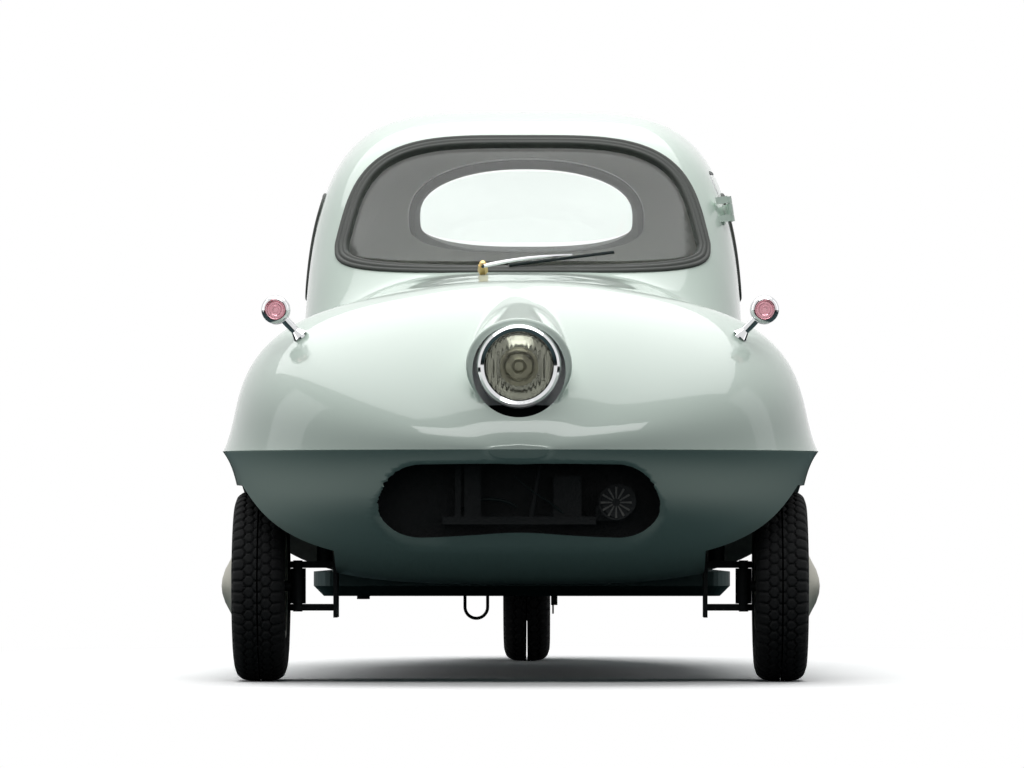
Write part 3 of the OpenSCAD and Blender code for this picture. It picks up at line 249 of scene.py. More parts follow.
CLOTH = material("seat_cloth", srgb(122, 44, 38), 0.8, spread=0.14, grain=90, bump=0.08, bump_scale=900,
                 bump_kind="weave")
# Reflector metal held dark at 0.30, darker than bright chrome, so the lamp looks dark behind its glass.
MIRROR = material("dark_reflector", (0.30, 0.30, 0.27, 1), 0.3, metal=1.0, spread=0.2, grain=60, bump=0.01)
HORN_METAL = material("horn_metal", (0.10, 0.10, 0.095, 1), 0.5, spread=0.2, bump=0.02)
BRASS = material("brass", (0.62, 0.45, 0.20, 1), 0.3, metal=1.0, spread=0.1, bump=0.01)
PLATE = material("plate_paint", srgb(205, 207, 203), 0.4, coat=0.3, spread=0.04, bump=0.004)
PIPING = material("seat_piping", srgb(205, 196, 170), 0.6, spread=0.06, bump=0.02)
SLOTS = {m.name: m for m in (PAINT, LINING, RUBBER, DARK, CHROME, STEEL, BLACK_STEEL, CAST, CREAM, TYRE,
                             CLEAR, LENS, PINK, RED, PLASTIC, DIAL, CLOTH)}


def dress_nodes():
    """Every CAD node takes the material of its slot."""
    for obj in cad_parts.values():
        for holder in obj.material_slots:
            name = holder.material.name.split(".")[0] if holder.material else ""
            if name in SLOTS:
                holder.material = SLOTS[name]


PAINTED = ("door_leaves", "body_hinges", "lid_leaves")
# Parts in the near-black steel, which is their own black; for nose_frame the near-black is also painted
# shade, darkening the inside of the mouth where shade falls.
BLACKENED_AND_MOUTH_SHADE = ("nose_frame", "horn", "front_suspension", "knuckle_left", "knuckle_right", "front_springs",
             "swing_arm", "rear_springs", "exhaust", "seat_frames", "floor_fittings")


def dress(names, mat):
    for name in names:
        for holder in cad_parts[name].material_slots:
            holder.material = mat


dress_nodes()
dress(PAINTED, PAINT)
# nose_frame's near-black here is partly its own black and partly painted shade for the inside of the mouth.
dress(BLACKENED_AND_MOUTH_SHADE, BLACK_STEEL)
dress(("headlight_bezel", "side_lamps"), CHROME)


# ---------------------------------------------------------------- the body's surface

# y, lip's half width, dome: half width, height, squareness, swell: the same three, bowl: depth
SECTIONS = np.array([
    [-1475, 633, 420, 330, 2.3, 594, 300, 2.9, 279],
    [-1200, 633, 425, 338, 2.4, 595, 320, 3.0, 279],
    [-1000, 633, 430, 347, 2.5, 595, 333, 3.1, 279],
    [-800, 630, 440, 374, 2.7, 591, 323, 3.0, 279],
    [-650, 622, 455, 387, 3.0, 583, 290, 2.8, 279],
    [-560, 615, 466, 400, 3.2, 577, 262, 2.6, 279],
    [-400, 603, 483, 562, 3.8, 568, 222, 2.4, 279],
    [-250, 596, 486, 708, 4.2, 562, 200, 2.4, 279],
    [-100, 591, 486, 764, 4.3, 557, 185, 2.3, 279],
    [80, 583, 486, 779, 4.3, 550, 178, 2.3, 279],
    [300, 562, 479, 769, 4.0, 530, 170, 2.3, 279],
    [500, 530, 460, 744, 3.6, 498, 162, 2.3, 277],
    [700, 482, 426, 690, 3.1, 452, 152, 2.2, 270],
    [900, 420, 375, 600, 2.7, 393, 142, 2.2, 256],
    [1100, 352, 318, 497, 2.4, 328, 132, 2.1, 238],
    [1300, 288, 265, 412, 2.2, 268, 124, 2.0, 218],
    [1475, 240, 225, 350, 2.1, 224, 118, 2.0, 200]])
Y, LIP, DOME_W, DOME_H, DOME_N, SWELL_W, SWELL_H, SWELL_N, BOWL_H = range(9)
HALF_L, HALF_W, LEDGE = 1475, 633, 483
BOWL_N = 3.3
NOSE_Y, NOSE_W_N, NOSE_H_N, NOSE_BOWL_N = -1000, 2.3, 1.5, 2.0
TAIL_Y, TAIL_W_N, TAIL_H_N, TAIL_BOWL_N = 900, 2.2, 2.1, 2.0
JOIN, LIP_ANGLE, LIP_OUT, TIP = 40, 5.5, 40, 1
FLARE, FLARE_ANGLE = 0.85, 4
WALL = 22
LAMP_Z, LAMP_Y, BEZEL_R = 653, -1427, 86.5
NACELLE_R, NACELLE_WIDE = 98, 1.12
NACELLE_END = (-900, 815)
NACELLE_ROUND = 7
NACELLE_BLEND = 26
MOUTH_HALF, MOUTH_LOW, MOUTH_HIGH = 264, 315, 440


def slopes():
    """Slope of every column at every row, from the rows on both sides."""
    before = np.maximum(np.arange(len(SECTIONS)) - 1, 0)
    after = np.minimum(np.arange(len(SECTIONS)) + 1, len(SECTIONS) - 1)
    return (SECTIONS[after] - SECTIONS[before]) / (SECTIONS[after, :1] - SECTIONS[before, :1])


SLOPES = slopes()


def sections(y):
    """The body's section values at each y, by a cubic through the rows, with the nose and tail caps."""
    y = np.clip(y, TIP - HALF_L, HALF_L - TIP)
    i = np.clip(np.searchsorted(SECTIONS[:, 0], y, side="right") - 1, 0, len(SECTIONS) - 2)
    h = (SECTIONS[i + 1, 0] - SECTIONS[i, 0])[..., None]
    t = (y - SECTIONS[i, 0])[..., None] / h
    s = ((2 * t**3 - 3 * t**2 + 1) * SECTIONS[i] + (t**3 - 2 * t**2 + t) * h * SLOPES[i]
         + (3 * t**2 - 2 * t**3) * SECTIONS[i + 1] + (t**3 - t**2) * h * SLOPES[i + 1])
    nose = np.clip((NOSE_Y - y) / (HALF_L + NOSE_Y), 0, 1)
    tail = np.clip((y - TAIL_Y) / (HALF_L - TAIL_Y), 0, 1)
    reach = np.where(y < 0, nose, tail)

    def cap(nose_n, tail_n):
        n = np.where(y < 0, nose_n, tail_n)
        return (1 - reach**n) ** (1 / n)
    cap_w = cap(NOSE_W_N, TAIL_W_N)
    cap_h = cap(NOSE_H_N, TAIL_H_N)
    s[..., [LIP, DOME_W, SWELL_W]] *= cap_w[..., None]
    s[..., [DOME_H, SWELL_H]] *= cap_h[..., None]
    s[..., BOWL_H] *= cap(NOSE_BOWL_N, TAIL_BOWL_N)
    return s


def oval(a, w, h, n):
    return 1 / ((np.abs(np.cos(a)) / w) ** n + (np.abs(np.sin(a)) / h) ** n) ** (1 / n)


def soft_max(a, b, soft):
    return (a + b + np.sqrt((a - b) ** 2 + soft**2)) / 2


def blend_max(a, b, soft):
    """The larger of two values, rounded only where they lie within soft of each other."""
    share = np.clip(0.5 + 0.5 * (a - b) / soft, 0, 1)
    return b + (a - b) * share + soft * share * (1 - share)


def nacelle_radius(y, a):
    """Distance from the ledge's middle line to the headlight's nacelle, along the angle a."""
    t = np.clip((y - LAMP_Y) / (NACELLE_END[0] - LAMP_Y), 0, 1)
    back = np.clip(NACELLE_ROUND - (y - LAMP_Y), 0, NACELLE_ROUND)
    r = NACELLE_R + (NACELLE_R / 4 - NACELLE_R) * t - NACELLE_ROUND + np.sqrt(NACELLE_ROUND**2 - back**2)
    up = LAMP_Z + (NACELLE_END[1] - LAMP_Z) * t - LEDGE
    wide = (np.cos(a) / NACELLE_WIDE) ** 2 + np.sin(a) ** 2
    inside = (up * np.sin(a)) ** 2 - wide * (up**2 - r**2)
    hit = (up * np.sin(a) + np.sqrt(np.maximum(inside, 0))) / wide
    miss = np.maximum(-inside, 0) / (2 * r)
    live = (y >= LAMP_Y) & (y < NACELLE_END[0])
    return np.where(live, hit - 4 * miss, 0)


def upper_radius(y, a, inset=0, nacelle=True):
    """Distance from the ledge's middle line to the upper skin."""
    s = sections(y * HALF_L / (HALF_L - inset))
    dome = oval(a, s[..., DOME_W], s[..., DOME_H], s[..., DOME_N])
    swell = oval(a, s[..., SWELL_W], s[..., SWELL_H], s[..., SWELL_N])
    soft = JOIN * s[..., SWELL_W] / HALF_W
    low = np.degrees(np.minimum(a, math.pi - a))
    r = soft_max(dome, swell, soft) + (s[..., LIP] - s[..., SWELL_W] - soft / 4) * np.exp(-low / LIP_ANGLE)
    if nacelle:
        r = np.where(y >= LAMP_Y, blend_max(r, nacelle_radius(y, a), NACELLE_BLEND), r)
    return np.maximum(r - inset, TIP)


def lower_radius(y, a, inset=0):
    """Distance from the ledge's middle line to the lower skin, with a lip that dies out below the ledge."""
    s = sections(y * HALF_L / (HALF_L - inset))
    out = s[..., LIP] * LIP_OUT / HALF_W
    low = np.degrees(np.minimum(a, math.pi - a))
    r = oval(a, s[..., LIP] - out, s[..., BOWL_H], BOWL_N) + FLARE * out * np.exp(-low / FLARE_ANGLE)
    return np.maximum(r - inset, TIP)


SCOOP_DEEP, SCOOP_WIDE = 30, 46
TUCK, TUCK_FROM, TUCK_OVER = 30, -1150, 300


def scoop(x, y, z):
    """How far the skin round the front mouth is drawn back, deepest at the mouth's edge."""
    r = (MOUTH_HIGH - MOUTH_LOW) / 2
    mid = (MOUTH_HIGH + MOUTH_LOW) / 2
    dx = np.maximum(np.abs(x) - (MOUTH_HALF - r), 0)
    dz = z - mid
    away = np.hypot(dx, dz) - r
    wide = SCOOP_WIDE * (0.45 + 0.55 * np.clip(0.5 - dz / r, 0, 1))
    t = np.clip(1 - away / wide, 0, 1)
    front = np.clip((TUCK_FROM - y) / TUCK_OVER, 0, 1)
    under = np.clip((LEDGE - z) / 90, 0, 1)
    return np.where(y < -1200, SCOOP_DEEP * t * t * (3 - 2 * t), 0) + TUCK * front * under * (2 - under)


def surface_normals(points, upper, inset=0):
    """Outward normals of the skin at points given in millimetres."""
    def value(p):
        x, y, z = p[:, 0], p[:, 1], p[:, 2]
        if not upper:
            y = y - scoop(x, y, z)
        up = z - LEDGE if upper else LEDGE - z
        a = np.arctan2(np.maximum(up, 0), np.abs(x))
        if upper:
            return np.hypot(x, up) - upper_radius(y, a, inset)
        return np.hypot(x, up) - lower_radius(y, a, inset)
    step = 0.4
    grad = np.empty_like(points)
    for k in range(3):
        shift = np.zeros(3)
        shift[k] = step
        grad[:, k] = value(points + shift) - value(points - shift)
    return grad / np.maximum(np.linalg.norm(grad, axis=1, keepdims=True), 1e-9)


# ---------------------------------------------------------------- mesh helpers

def new_mesh(name, verts, faces, mats=(), smooth=True):
    """A mesh object from points in millimetres."""
    mesh = bpy.data.meshes.new(name)
    mesh.from_pydata((np.asarray(verts) * MM).tolist(), [], faces)
    mesh.update()
    for m in mats:
        mesh.materials.append(m)
    if smooth:
        mesh.polygons.foreach_set("use_smooth", [True] * len(mesh.polygons))
    obj = bpy.data.objects.new(name, mesh)
    bpy.context.scene.collection.objects.link(obj)
    return obj


def ring_faces(rows, count, ends=True):
    """Faces of rows of closed rings."""
    faces = []
    for j in range(rows - 1):
        a = j * count
        for i in range(count):
            k = (i + 1) % count
            faces.append((a + i, a + k, a + count + k, a + count + i))
    if ends:
        faces.append(tuple(range(count - 1, -1, -1)))
        faces.append(tuple(range((rows - 1) * count, rows * count)))
    return faces


def turned(name, profile, at, axis, mats, steps=160, closed=True):
    """A solid of revolution: profile is (radius, distance along the axis), about a line through at."""
    along = Vector(axis).normalized()
    side = along.orthogonal().normalized()
    other = along.cross(side)
    verts = []
    for i in range(steps):
        t = 2 * math.pi * i / steps
        out = side * math.cos(t) + other * math.sin(t)
        verts += [Vector(at) + out * r + along * d for r, d in profile]
    n = len(profile)
    faces = []
    for i in range(steps):
        j = (i + 1) % steps
        for k in range(n if closed else n - 1):
            m = (k + 1) % n
            faces.append((i * n + k, j * n + k, j * n + m, i * n + m))
    obj = new_mesh(name, [tuple(v) for v in verts], faces, mats)
    tidy_mesh(obj)
    return obj


def tidy_mesh(obj, angle=35, weld=0.00001):
    """Welds doubled points, turns faces outward and keeps edges sharper than the angle."""
    bm = bmesh.new()
    bm.from_mesh(obj.data)
    bmesh.ops.remove_doubles(bm, verts=bm.verts, dist=weld)
    bmesh.ops.dissolve_degenerate(bm, edges=bm.edges, dist=weld)
    bmesh.ops.recalc_face_normals(bm, faces=bm.faces)
    for e in bm.edges:
        if len(e.link_faces) == 2 and e.calc_face_angle(0) > math.radians(angle):
            e.smooth = False
    bm.to_mesh(obj.data)
    bm.free()


def tube(name, path, radius, mats, sides=16, radii=None, closed=False):
    """A round bar along a path of points in millimetres."""
    path = [Vector(p) for p in path]
    count = len(path)
    verts = []
    frame_side = None
    for i, p in enumerate(path):
        ahead = path[(i + 1) % count] if closed or i < count - 1 else p
        behind = path[i - 1] if closed or i > 0 else p
        along = (ahead - behind).normalized()
        if frame_side is None:
            frame_side = along.orthogonal().normalized()
        frame_side = (frame_side - along * frame_side.dot(along)).normalized()
        other = along.cross(frame_side)
        r = radii[i] if radii else radius
        verts += [p + (frame_side * math.cos(t) + other * math.sin(t)) * r
                  for t in (2 * math.pi * k / sides for k in range(sides))]
    faces = ring_faces(count, sides, ends=not closed)
    if closed:
        last = (count - 1) * sides
        faces += [(last + k, last + (k + 1) % sides, (k + 1) % sides, k) for k in range(sides)]
    obj = new_mesh(name, [tuple(v) for v in verts], faces, mats)
    tidy_mesh(obj)
    return obj


def carve(obj, cutter, operation="DIFFERENCE"):
    """Cuts obj with the cutter, or joins it on, and removes the cutter."""
    m = obj.modifiers.new("carve", "BOOLEAN")
    m.operation = operation
    m.object = cutter
    m.solver = "MANIFOLD"
    view = bpy.context.evaluated_depsgraph_get()
    mesh = bpy.data.meshes.new_from_object(obj.evaluated_get(view))
    obj.modifiers.clear()
    old = obj.data
    obj.data = mesh
    mesh.name = old.name
    bpy.data.meshes.remove(old)
    bpy.data.objects.remove(cutter)


def finish_piece(obj, body, slot, *nodes):
    """The piece rides on a body and stands for CAD nodes; the slot argument is not used."""
    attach(obj, body)
    if nodes:
        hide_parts(*nodes)
    return obj


# ---------------------------------------------------------------- outlines

def both_sides(circles):
    return [(side * x, z, r) for x, z, r in circles for side in (-1, 1)]


def window(half, level, rise, rise_n, drop, drop_n, narrowing, steps=240):
    """A rounded window outline, squarer or rounder above and below its widest level."""
    points = []
    for k in range(steps):
        c, t = math.cos(2 * math.pi * k / steps), math.sin(2 * math.pi * k / steps)
        size, n = (rise, rise_n) if t > 0 else (drop, drop_n)
        up = math.copysign(abs(t) ** (2 / n), t) * size
        across = math.copysign(abs(c) ** (2 / n), c) * (half - narrowing * max(up, 0))
        points.append((across, level + up, 0))
    return points


WINDSCREEN = window(409, 945, 245, 3.8, 67, 4, 0.22)
REAR_WINDOW = window(280, 1052, 136, 2.3, 68, 3.4, 0)
DOOR = [(-168, 580, 60), (285, 580, 60), (-145, 1040, 80), (200, 1030, 90)]
SIDE_WINDOW = [(-146, 868, 35), (-130, 1022, 45), (190, 878, 45), (150, 1000, 70)]
LID = both_sides([(150, 655, 45), (120, 865, 65)])
PANEL_GAP = 9
SEAL_W = 25


def convex_hull(points):
    """Corners of the convex hull, anticlockwise."""
    points = sorted(set(points))

    def half(source):
        chain = []
        for p in source:
            while len(chain) > 1 and ((chain[-1][0] - chain[-2][0]) * (p[1] - chain[-2][1])
                                      - (chain[-1][1] - chain[-2][1]) * (p[0] - chain[-2][0])) <= 1e-9:
                chain.pop()
            chain.append(p)
        return chain[:-1]
    return half(points) + half(points[::-1])


def clip(poly, px, py, nx, ny):
    """The part of a polygon behind the line through (px, py) with the outward normal (nx, ny)."""
    kept = []
    for i, q in enumerate(poly):
        p = poly[i - 1]
        dp = (p[0] - px) * nx + (p[1] - py) * ny
        dq = (q[0] - px) * nx + (q[1] - py) * ny
        if (dp > 0) != (dq > 0):
            t = dp / (dp - dq)
            kept.append((p[0] + (q[0] - p[0]) * t, p[1] + (q[1] - p[1]) * t))
        if dq <= 0:
            kept.append(q)
    return kept


def outline(circles, grow):
    """Hull of circles, each side moved outward by grow."""
    rim = [(x + r * math.cos(t), z + r * math.sin(t)) for x, z, r in circles
           for t in (2 * math.pi * k / 72 for k in range(72 if r else 1))]
    hull = convex_hull([(round(x, 4), round(z, 4)) for x, z in rim])
    poly = [(-5e3, -5e3), (5e3, -5e3), (5e3, 5e3), (-5e3, 5e3)]
    for i, q in enumerate(hull):
        p = hull[i - 1]
        nx, ny = q[1] - p[1], p[0] - q[0]
        size = math.hypot(nx, ny)
        nx, ny = nx / size, ny / size
        poly = clip(poly, p[0] + nx * grow, p[1] + ny * grow, nx, ny)
    return [p for i, p in enumerate(poly) if math.dist(p, poly[i - 1]) > 0.3]


def resample(poly, count):
    """Evenly spaced points round a closed outline."""
    pts = np.array(poly + poly[:1])
    run = np.concatenate([[0], np.cumsum(np.hypot(*np.diff(pts, axis=0).T))])
    at = np.linspace(0, run[-1], count, endpoint=False)
    return np.stack([np.interp(at, run, pts[:, 0]), np.interp(at, run, pts[:, 1])], axis=1)


def prism(poly, plane, low, high):
    """An outline in XZ, YZ or XY drawn across its plane, as a closed cutter."""
    n = len(poly)
    if plane == "XZ":
        verts = [(x, d, z) for d in (low, high) for x, z in poly]
    elif plane == "XY":
        verts = [(x, y, d) for d in (low, high) for x, y in poly]
    else:
        verts = [(d, y, z) for d in (low, high) for y, z in poly]
    cutter = new_mesh("cutter", verts, ring_faces(2, n), [None] * 3, smooth=False)
    tidy_mesh(cutter, weld=1e-7)
    cutter.data.polygons.foreach_set("material_index", [2] * len(cutter.data.polygons))
    return cutter


def cylinder_cutter(at, axis, radius, length, steps=128):
    return with_index(turned("cutter", [(0, 0), (radius, 0), (radius, length), (0, length)], at, axis,
                             [None] * 3, steps, closed=False), 2)


def block_cutter(low, high):
    (a, b, c), (d, e, f) = low, high
    verts = [(x, y, z) for z in (c, f) for x, y in ((a, b), (d, b), (d, e), (a, e))]
    return with_index(new_mesh("cutter", verts, ring_faces(2, 4), [None] * 3, smooth=False), 2)


def with_index(obj, index):
    obj.data.polygons.foreach_set("material_index", [index] * len(obj.data.polygons))
    return obj


def windscreen_cut(grow):
    return prism(outline(WINDSCREEN, grow), "XZ", -700, -100)


def rear_window_cut(grow):
    return prism(outline(REAR_WINDOW, grow), "XZ", 450, HALF_L)


def lid_cut(grow):
    return prism(outline(LID, grow), "XZ", 850, HALF_L + 1)


def door_cut(grow):
    return prism(outline(DOOR, grow), "YZ", HALF_W / 4, HALF_W + 30)


def side_window_cut(grow, side):
    near, far = HALF_W / 4, HALF_W + 30
    return prism(outline(SIDE_WINDOW, grow), "YZ", *((near, far) if side > 0 else (-far, -near)))


def mouth_cut():
    r = (MOUTH_HIGH - MOUTH_LOW) / 2
    z = (MOUTH_HIGH + MOUTH_LOW) / 2
    return prism(outline([(MOUTH_HALF - r, z, r), (r - MOUTH_HALF, z, r)], 0), "XZ", -HALF_L - 1, -1262)


# ---------------------------------------------------------------- body shells

def eased(count, power):
    """Angles from 0 to a half turn, closer together near both ends."""
    quarter = (np.linspace(0, 1, count) ** power) * math.pi / 2
    return np.concatenate([quarter, math.pi - quarter[-2::-1]])


def stations(step):
    """Places along the car: even in the middle, by angle in the nose and the tail."""
    nose = NOSE_Y - (HALF_L + NOSE_Y) * np.sin(np.radians(np.arange(90, 0, -step / 8.3)))
    middle = np.arange(NOSE_Y, TAIL_Y, step)
    tail = TAIL_Y + (HALF_L - TAIL_Y) * np.sin(np.radians(np.arange(0, 90, step / 10)))
    front = [LAMP_Y - 0.02] + [LAMP_Y + d for d in (0, 0.4, 1, 2, 3.5, 5, NACELLE_ROUND, 12, 20)]
    keep = np.concatenate([nose[(nose < LAMP_Y - 1) | (nose > LAMP_Y + 22)], middle, tail, [HALF_L]])
    return np.unique(np.concatenate([keep, front]).round(3))


def shell_solid(name, upper, inset, step=14, angles=90):
    """The closed solid inside the upper or lower skin, moved in by inset."""
    fine = inset <= 0
    ys = stations(step) * (HALF_L - inset) / HALF_L
    a = eased(angles, 1.3 if upper else 1.15)
    yy, aa = np.meshgrid(ys, a, indexing="ij")
    if upper:
        r = upper_radius(yy, aa, inset, nacelle=fine)
    else:
        r = lower_radius(yy, aa, inset)
    x, up = r * np.cos(aa), r * np.sin(aa)
    z = LEDGE + up if upper else LEDGE - up
    if not upper and fine:
        yy = yy + scoop(x, yy, z)
    over = 0 if fine else inset + 1
    if over:
        foot = z[:, :1] - over if upper else z[:, :1] + over
        x = np.concatenate([x[:, :1], x, x[:, -1:]], axis=1)
        yy = np.concatenate([yy[:, :1], yy, yy[:, -1:]], axis=1)
        z = np.concatenate([foot, z, foot], axis=1)
    verts = np.stack([x, yy, z], axis=-1)
    rows, count = verts.shape[:2]
    faces = ring_faces(rows, count)
    if upper:
        faces = [f[::-1] for f in faces]
    obj = new_mesh(name, verts.reshape(-1, 3), faces, [PAINT, LINING, PAINT])
    obj.data.polygons.foreach_set("material_index", [0 if fine else 1] * len(obj.data.polygons))
    tidy_mesh(obj, weld=1e-7)
    return obj


def smooth_skin(obj, upper, outer=0.0, inner=WALL):
    """Gives the skin's own normals to the faces that lie on it, so that cuts leave no marks in its gloss."""
    mesh = obj.data
    count = len(mesh.vertices)
    co = np.empty(count * 3)
    mesh.vertices.foreach_get("co", co)
    co = co.reshape(-1, 3) / MM
    loops = len(mesh.loops)
    vertex = np.empty(loops, np.int32)
    mesh.loops.foreach_get("vertex_index", vertex)
    corner = np.empty(loops * 3)
    mesh.corner_normals.foreach_get("vector", corner)
    corner = corner.reshape(-1, 3)
    skins = {0: surface_normals(co, upper, outer), 1: -surface_normals(co, upper, inner)}
    face_n = np.empty(len(mesh.polygons) * 3)
    mesh.polygons.foreach_get("normal", face_n)
    face_n = face_n.reshape(-1, 3)
    slot = np.empty(len(mesh.polygons), np.int32)
    mesh.polygons.foreach_get("material_index", slot)
    total = np.empty(len(mesh.polygons), np.int32)
    mesh.polygons.foreach_get("loop_total", total)
    of_face = np.repeat(np.arange(len(total)), total)
    result = face_n[of_face].copy()
    for index, normals in skins.items():
        own = normals[vertex]
        fits = (slot[of_face] == index) & (np.einsum("ij,ij->i", own, face_n[of_face]) > 0.72)
        result[fits] = own[fits]
    mesh.polygons.foreach_set("use_smooth", [True] * len(mesh.polygons))
    mesh.normals_split_custom_set(result.tolist())
    mesh.update()


REAR_WELL = ((-120, 720, -1), (120, 1260, 455))
FRONT_AXLE, REAR_AXLE, AXLE_Z = -990, 1010, 200
WELL_R, WELL_X, LINER = 262, 385, 8
TYRE_D, ARCH_TOP_GAP = 400, 12


def make_upper_body():
    body = shell_solid("upper_shell", True, 0)
    carve(body, shell_solid("inside", True, WALL, step=30, angles=40))
    for cutter in (windscreen_cut(0), rear_window_cut(0), door_cut(0), side_window_cut(0, -1), lid_cut(0)):
        carve(body, cutter)
    carve(body, cylinder_cutter((0, LAMP_Y - 60, LAMP_Z - 9), (0, 1, 0), BEZEL_R + 9, 92))
    carve(body, cylinder_cutter((0, LAMP_Y - 60, LAMP_Z), (0, 1, 0), BEZEL_R - 8, 180))
    smooth_skin(body, True)
    return finish_piece(body, "body", "body_paint", "upper_body")


def well_cutter(side):
    """A front wheel's well as a cylinder."""
    start = WELL_X if side > 0 else -WELL_X
    return cylinder_cutter((start, FRONT_AXLE, AXLE_Z), (side, 0, 0), WELL_R, HALF_W + 20 - WELL_X)


def make_lower_body():
    body = shell_solid("lower_shell", False, 0)
    inside = shell_solid("inside", False, WALL, step=30, angles=40)
    for side in (-1, 1):
        start = side * (WELL_X - LINER)
        carve(inside, cylinder_cutter((start, FRONT_AXLE, AXLE_Z), (side, 0, 0), WELL_R + LINER, HALF_W))
    low, high = REAR_WELL
    carve(inside, block_cutter([v - LINER for v in low], [v + LINER for v in high]))
    carve(body, inside)
    for side in (-1, 1):
        well = well_cutter(side)
        core = shell_solid("core", False, WALL, step=30, angles=40)
        band = block_cutter((-HALF_W - 20, -HALF_L, -100), (HALF_W + 20, HALF_L, TYRE_D + ARCH_TOP_GAP))
        carve(core, band, "UNION")
        carve(well, core, "INTERSECT")
        carve(body, with_index(well, 2))
    carve(body, block_cutter(low, high))
    carve(body, mouth_cut())
    low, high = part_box("floor_pan")
    pan = prism(pan_outline(0.3), "XY", -1, high.z / MM + 0.3)
    carve(body, pan)
    smooth_skin(body, False)
    return finish_piece(body, "body", "body_paint", "lower_body")


PAN_Y, PAN_HALF, PAN_R = (-700, 480), (450, 400), 60


def pan_outline(grow):
    corners = [(side * (PAN_HALF[k] - PAN_R), PAN_Y[k] + (PAN_R if k == 0 else -PAN_R), PAN_R)
               for side in (-1, 1) for k in (0, 1)]
    return outline(corners, grow)


def make_panel(name, shape, body_name, node, window=None):
    """A door or lid cut from the upper skin."""
    panel = shell_solid(name, True, 0)
    carve(panel, shell_solid("inside", True, WALL, step=30, angles=40))
    carve(panel, shape, "INTERSECT")
    if window:
        carve(panel, window)
    smooth_skin(panel, True)
    return finish_piece(panel, body_name, "body_paint", node)


GLASS_IN, GLASS_T = 8, 5


def make_glass(name, shape, body_name, node):
    """A pane that follows the skin a little inside it."""
    pane = shell_solid(name, True, GLASS_IN - 0.001, step=22, angles=60)
    carve(pane, shell_solid("inside", True, GLASS_IN + GLASS_T, step=22, angles=60))
    carve(pane, shape, "INTERSECT")
    for m in range(3):
        pane.data.materials[m] = CLEAR
    smooth_skin(pane, True, GLASS_IN, GLASS_IN + GLASS_T)
    for poly in pane.data.polygons:
        poly.material_index = 0
    return finish_piece(pane, body_name, "window_glass", node)


# Rubber section: distance in from the hole's edge, height above the skin
SEAL_SECTION = [(-4, 0.2), (-4, 2.2), (-2, 4.6), (1, 5.6), (4, 5.0), (5.5, 3.2), (7.5, 3.0), (9, 4.4),
                (12, 5.2), (15, 4.4), (16.5, 3.0), (18.5, 2.8), (20.5, 3.6), (23, 2.8), (25, 0.2),
                (25.4, -4), (24, -13.5), (4, -21), (0.4, -21), (0.2, -2)]


def skin_points(poly, plane, side):
    """Points of an outline put onto the upper skin, by halving."""
    u, z = poly[:, 0], poly[:, 1]
    if plane == "YZ":
        inner, outer = np.zeros(len(u)), np.full(len(u), float(HALF_W + 40))
    elif side < 0:
        inner, outer = np.zeros(len(u)), np.full(len(u), float(-HALF_L))
    else:
        inner, outer = np.full(len(u), 300.0), np.full(len(u), float(HALF_L))
    for _ in range(40):
        mid = (inner + outer) / 2
        x, y = (mid, u) if plane == "YZ" else (u, mid)
        up = z - LEDGE
        solid = np.hypot(x, up) < upper_radius(y, np.arctan2(up, np.abs(x)), nacelle=False)
        inner = np.where(solid, mid, inner)
        outer = np.where(solid, outer, mid)
    if plane == "YZ":
        return np.stack([side * inner, u, z], axis=1)
    return np.stack([u, inner, z], axis=1)


def make_seal(name, circles, plane, side, body_name, node, count=240):
    """A ribbed rubber strip swept round a window's hole, lying on the skin."""
    edge = skin_points(resample(outline(circles, 0), count), plane, side)
    inner = skin_points(resample(outline(circles, -SEAL_W), count), plane, side)
    nearest = [inner[np.argmin(np.linalg.norm(inner - p, axis=1))] for p in edge]
    normals = surface_normals(edge, True)
    verts = []
    for p, q, n in zip(edge, nearest, normals):
        inward = (q - p) / np.linalg.norm(q - p)
        verts += [p + inward * u + n * v for u, v in SEAL_SECTION]
    k = len(SEAL_SECTION)
    faces = ring_faces(count, k, ends=False)
    last = (count - 1) * k
    faces += [(last + i, last + (i + 1) % k, (i + 1) % k, i) for i in range(k)]
    seal = new_mesh(name, verts, faces, [RUBBER])
    tidy_mesh(seal, angle=60)
    return finish_piece(seal, body_name, "rubber_seal", node)


make_upper_body()
make_lower_body()
make_panel("door_panel", door_cut(-PANEL_GAP), "left_door", "door", side_window_cut(0, 1))
make_panel("lid_panel", lid_cut(-PANEL_GAP), "rear_lid", "engine_lid")
make_glass("screen_pane", windscreen_cut(-SEAL_W), "body", "windscreen")
make_glass("rear_pane", rear_window_cut(-SEAL_W), "body", "rear_window")
make_glass("right_pane", side_window_cut(-SEAL_W, -1), "body", "side_glass")
make_glass("door_pane", side_window_cut(-SEAL_W, 1), "left_door", "door_glass")
make_seal("screen_rubber", WINDSCREEN, "XZ", -1, "body", "windscreen_seal")
make_seal("rear_rubber", REAR_WINDOW, "XZ", 1, "body", "rear_window_seal")
make_seal("right_rubber", SIDE_WINDOW, "YZ", -1, "body", "side_seal", 160)
make_seal("door_rubber", SIDE_WINDOW, "YZ", 1, "left_door", "door_seal", 160)


# ---------------------------------------------------------------- wheels

TYRE_R, TYRE_HALF, RIM_R = 200, 56, 103
# Share of the tyre's height above the rim, and of its half width
TYRE_SHAPE = np.array([[0, 0.835], [0.09, 0.84], [0.26, 0.965], [0.48, 1], [0.71, 0.98], [0.88, 0.88],
                       [0.97, 0.68], [1, 0.36], [1, 0]])
TREAD_PITCHES, PITCH_STEPS = 52, 10
TREAD_DEEP, GROOVE, ZIGZAG = 4.5, 2.6, 4.2
PITCH, COLUMN = 24, 18
GROOVES = (-27, -9, 9, 27)
SHOULDER = (42, 62)


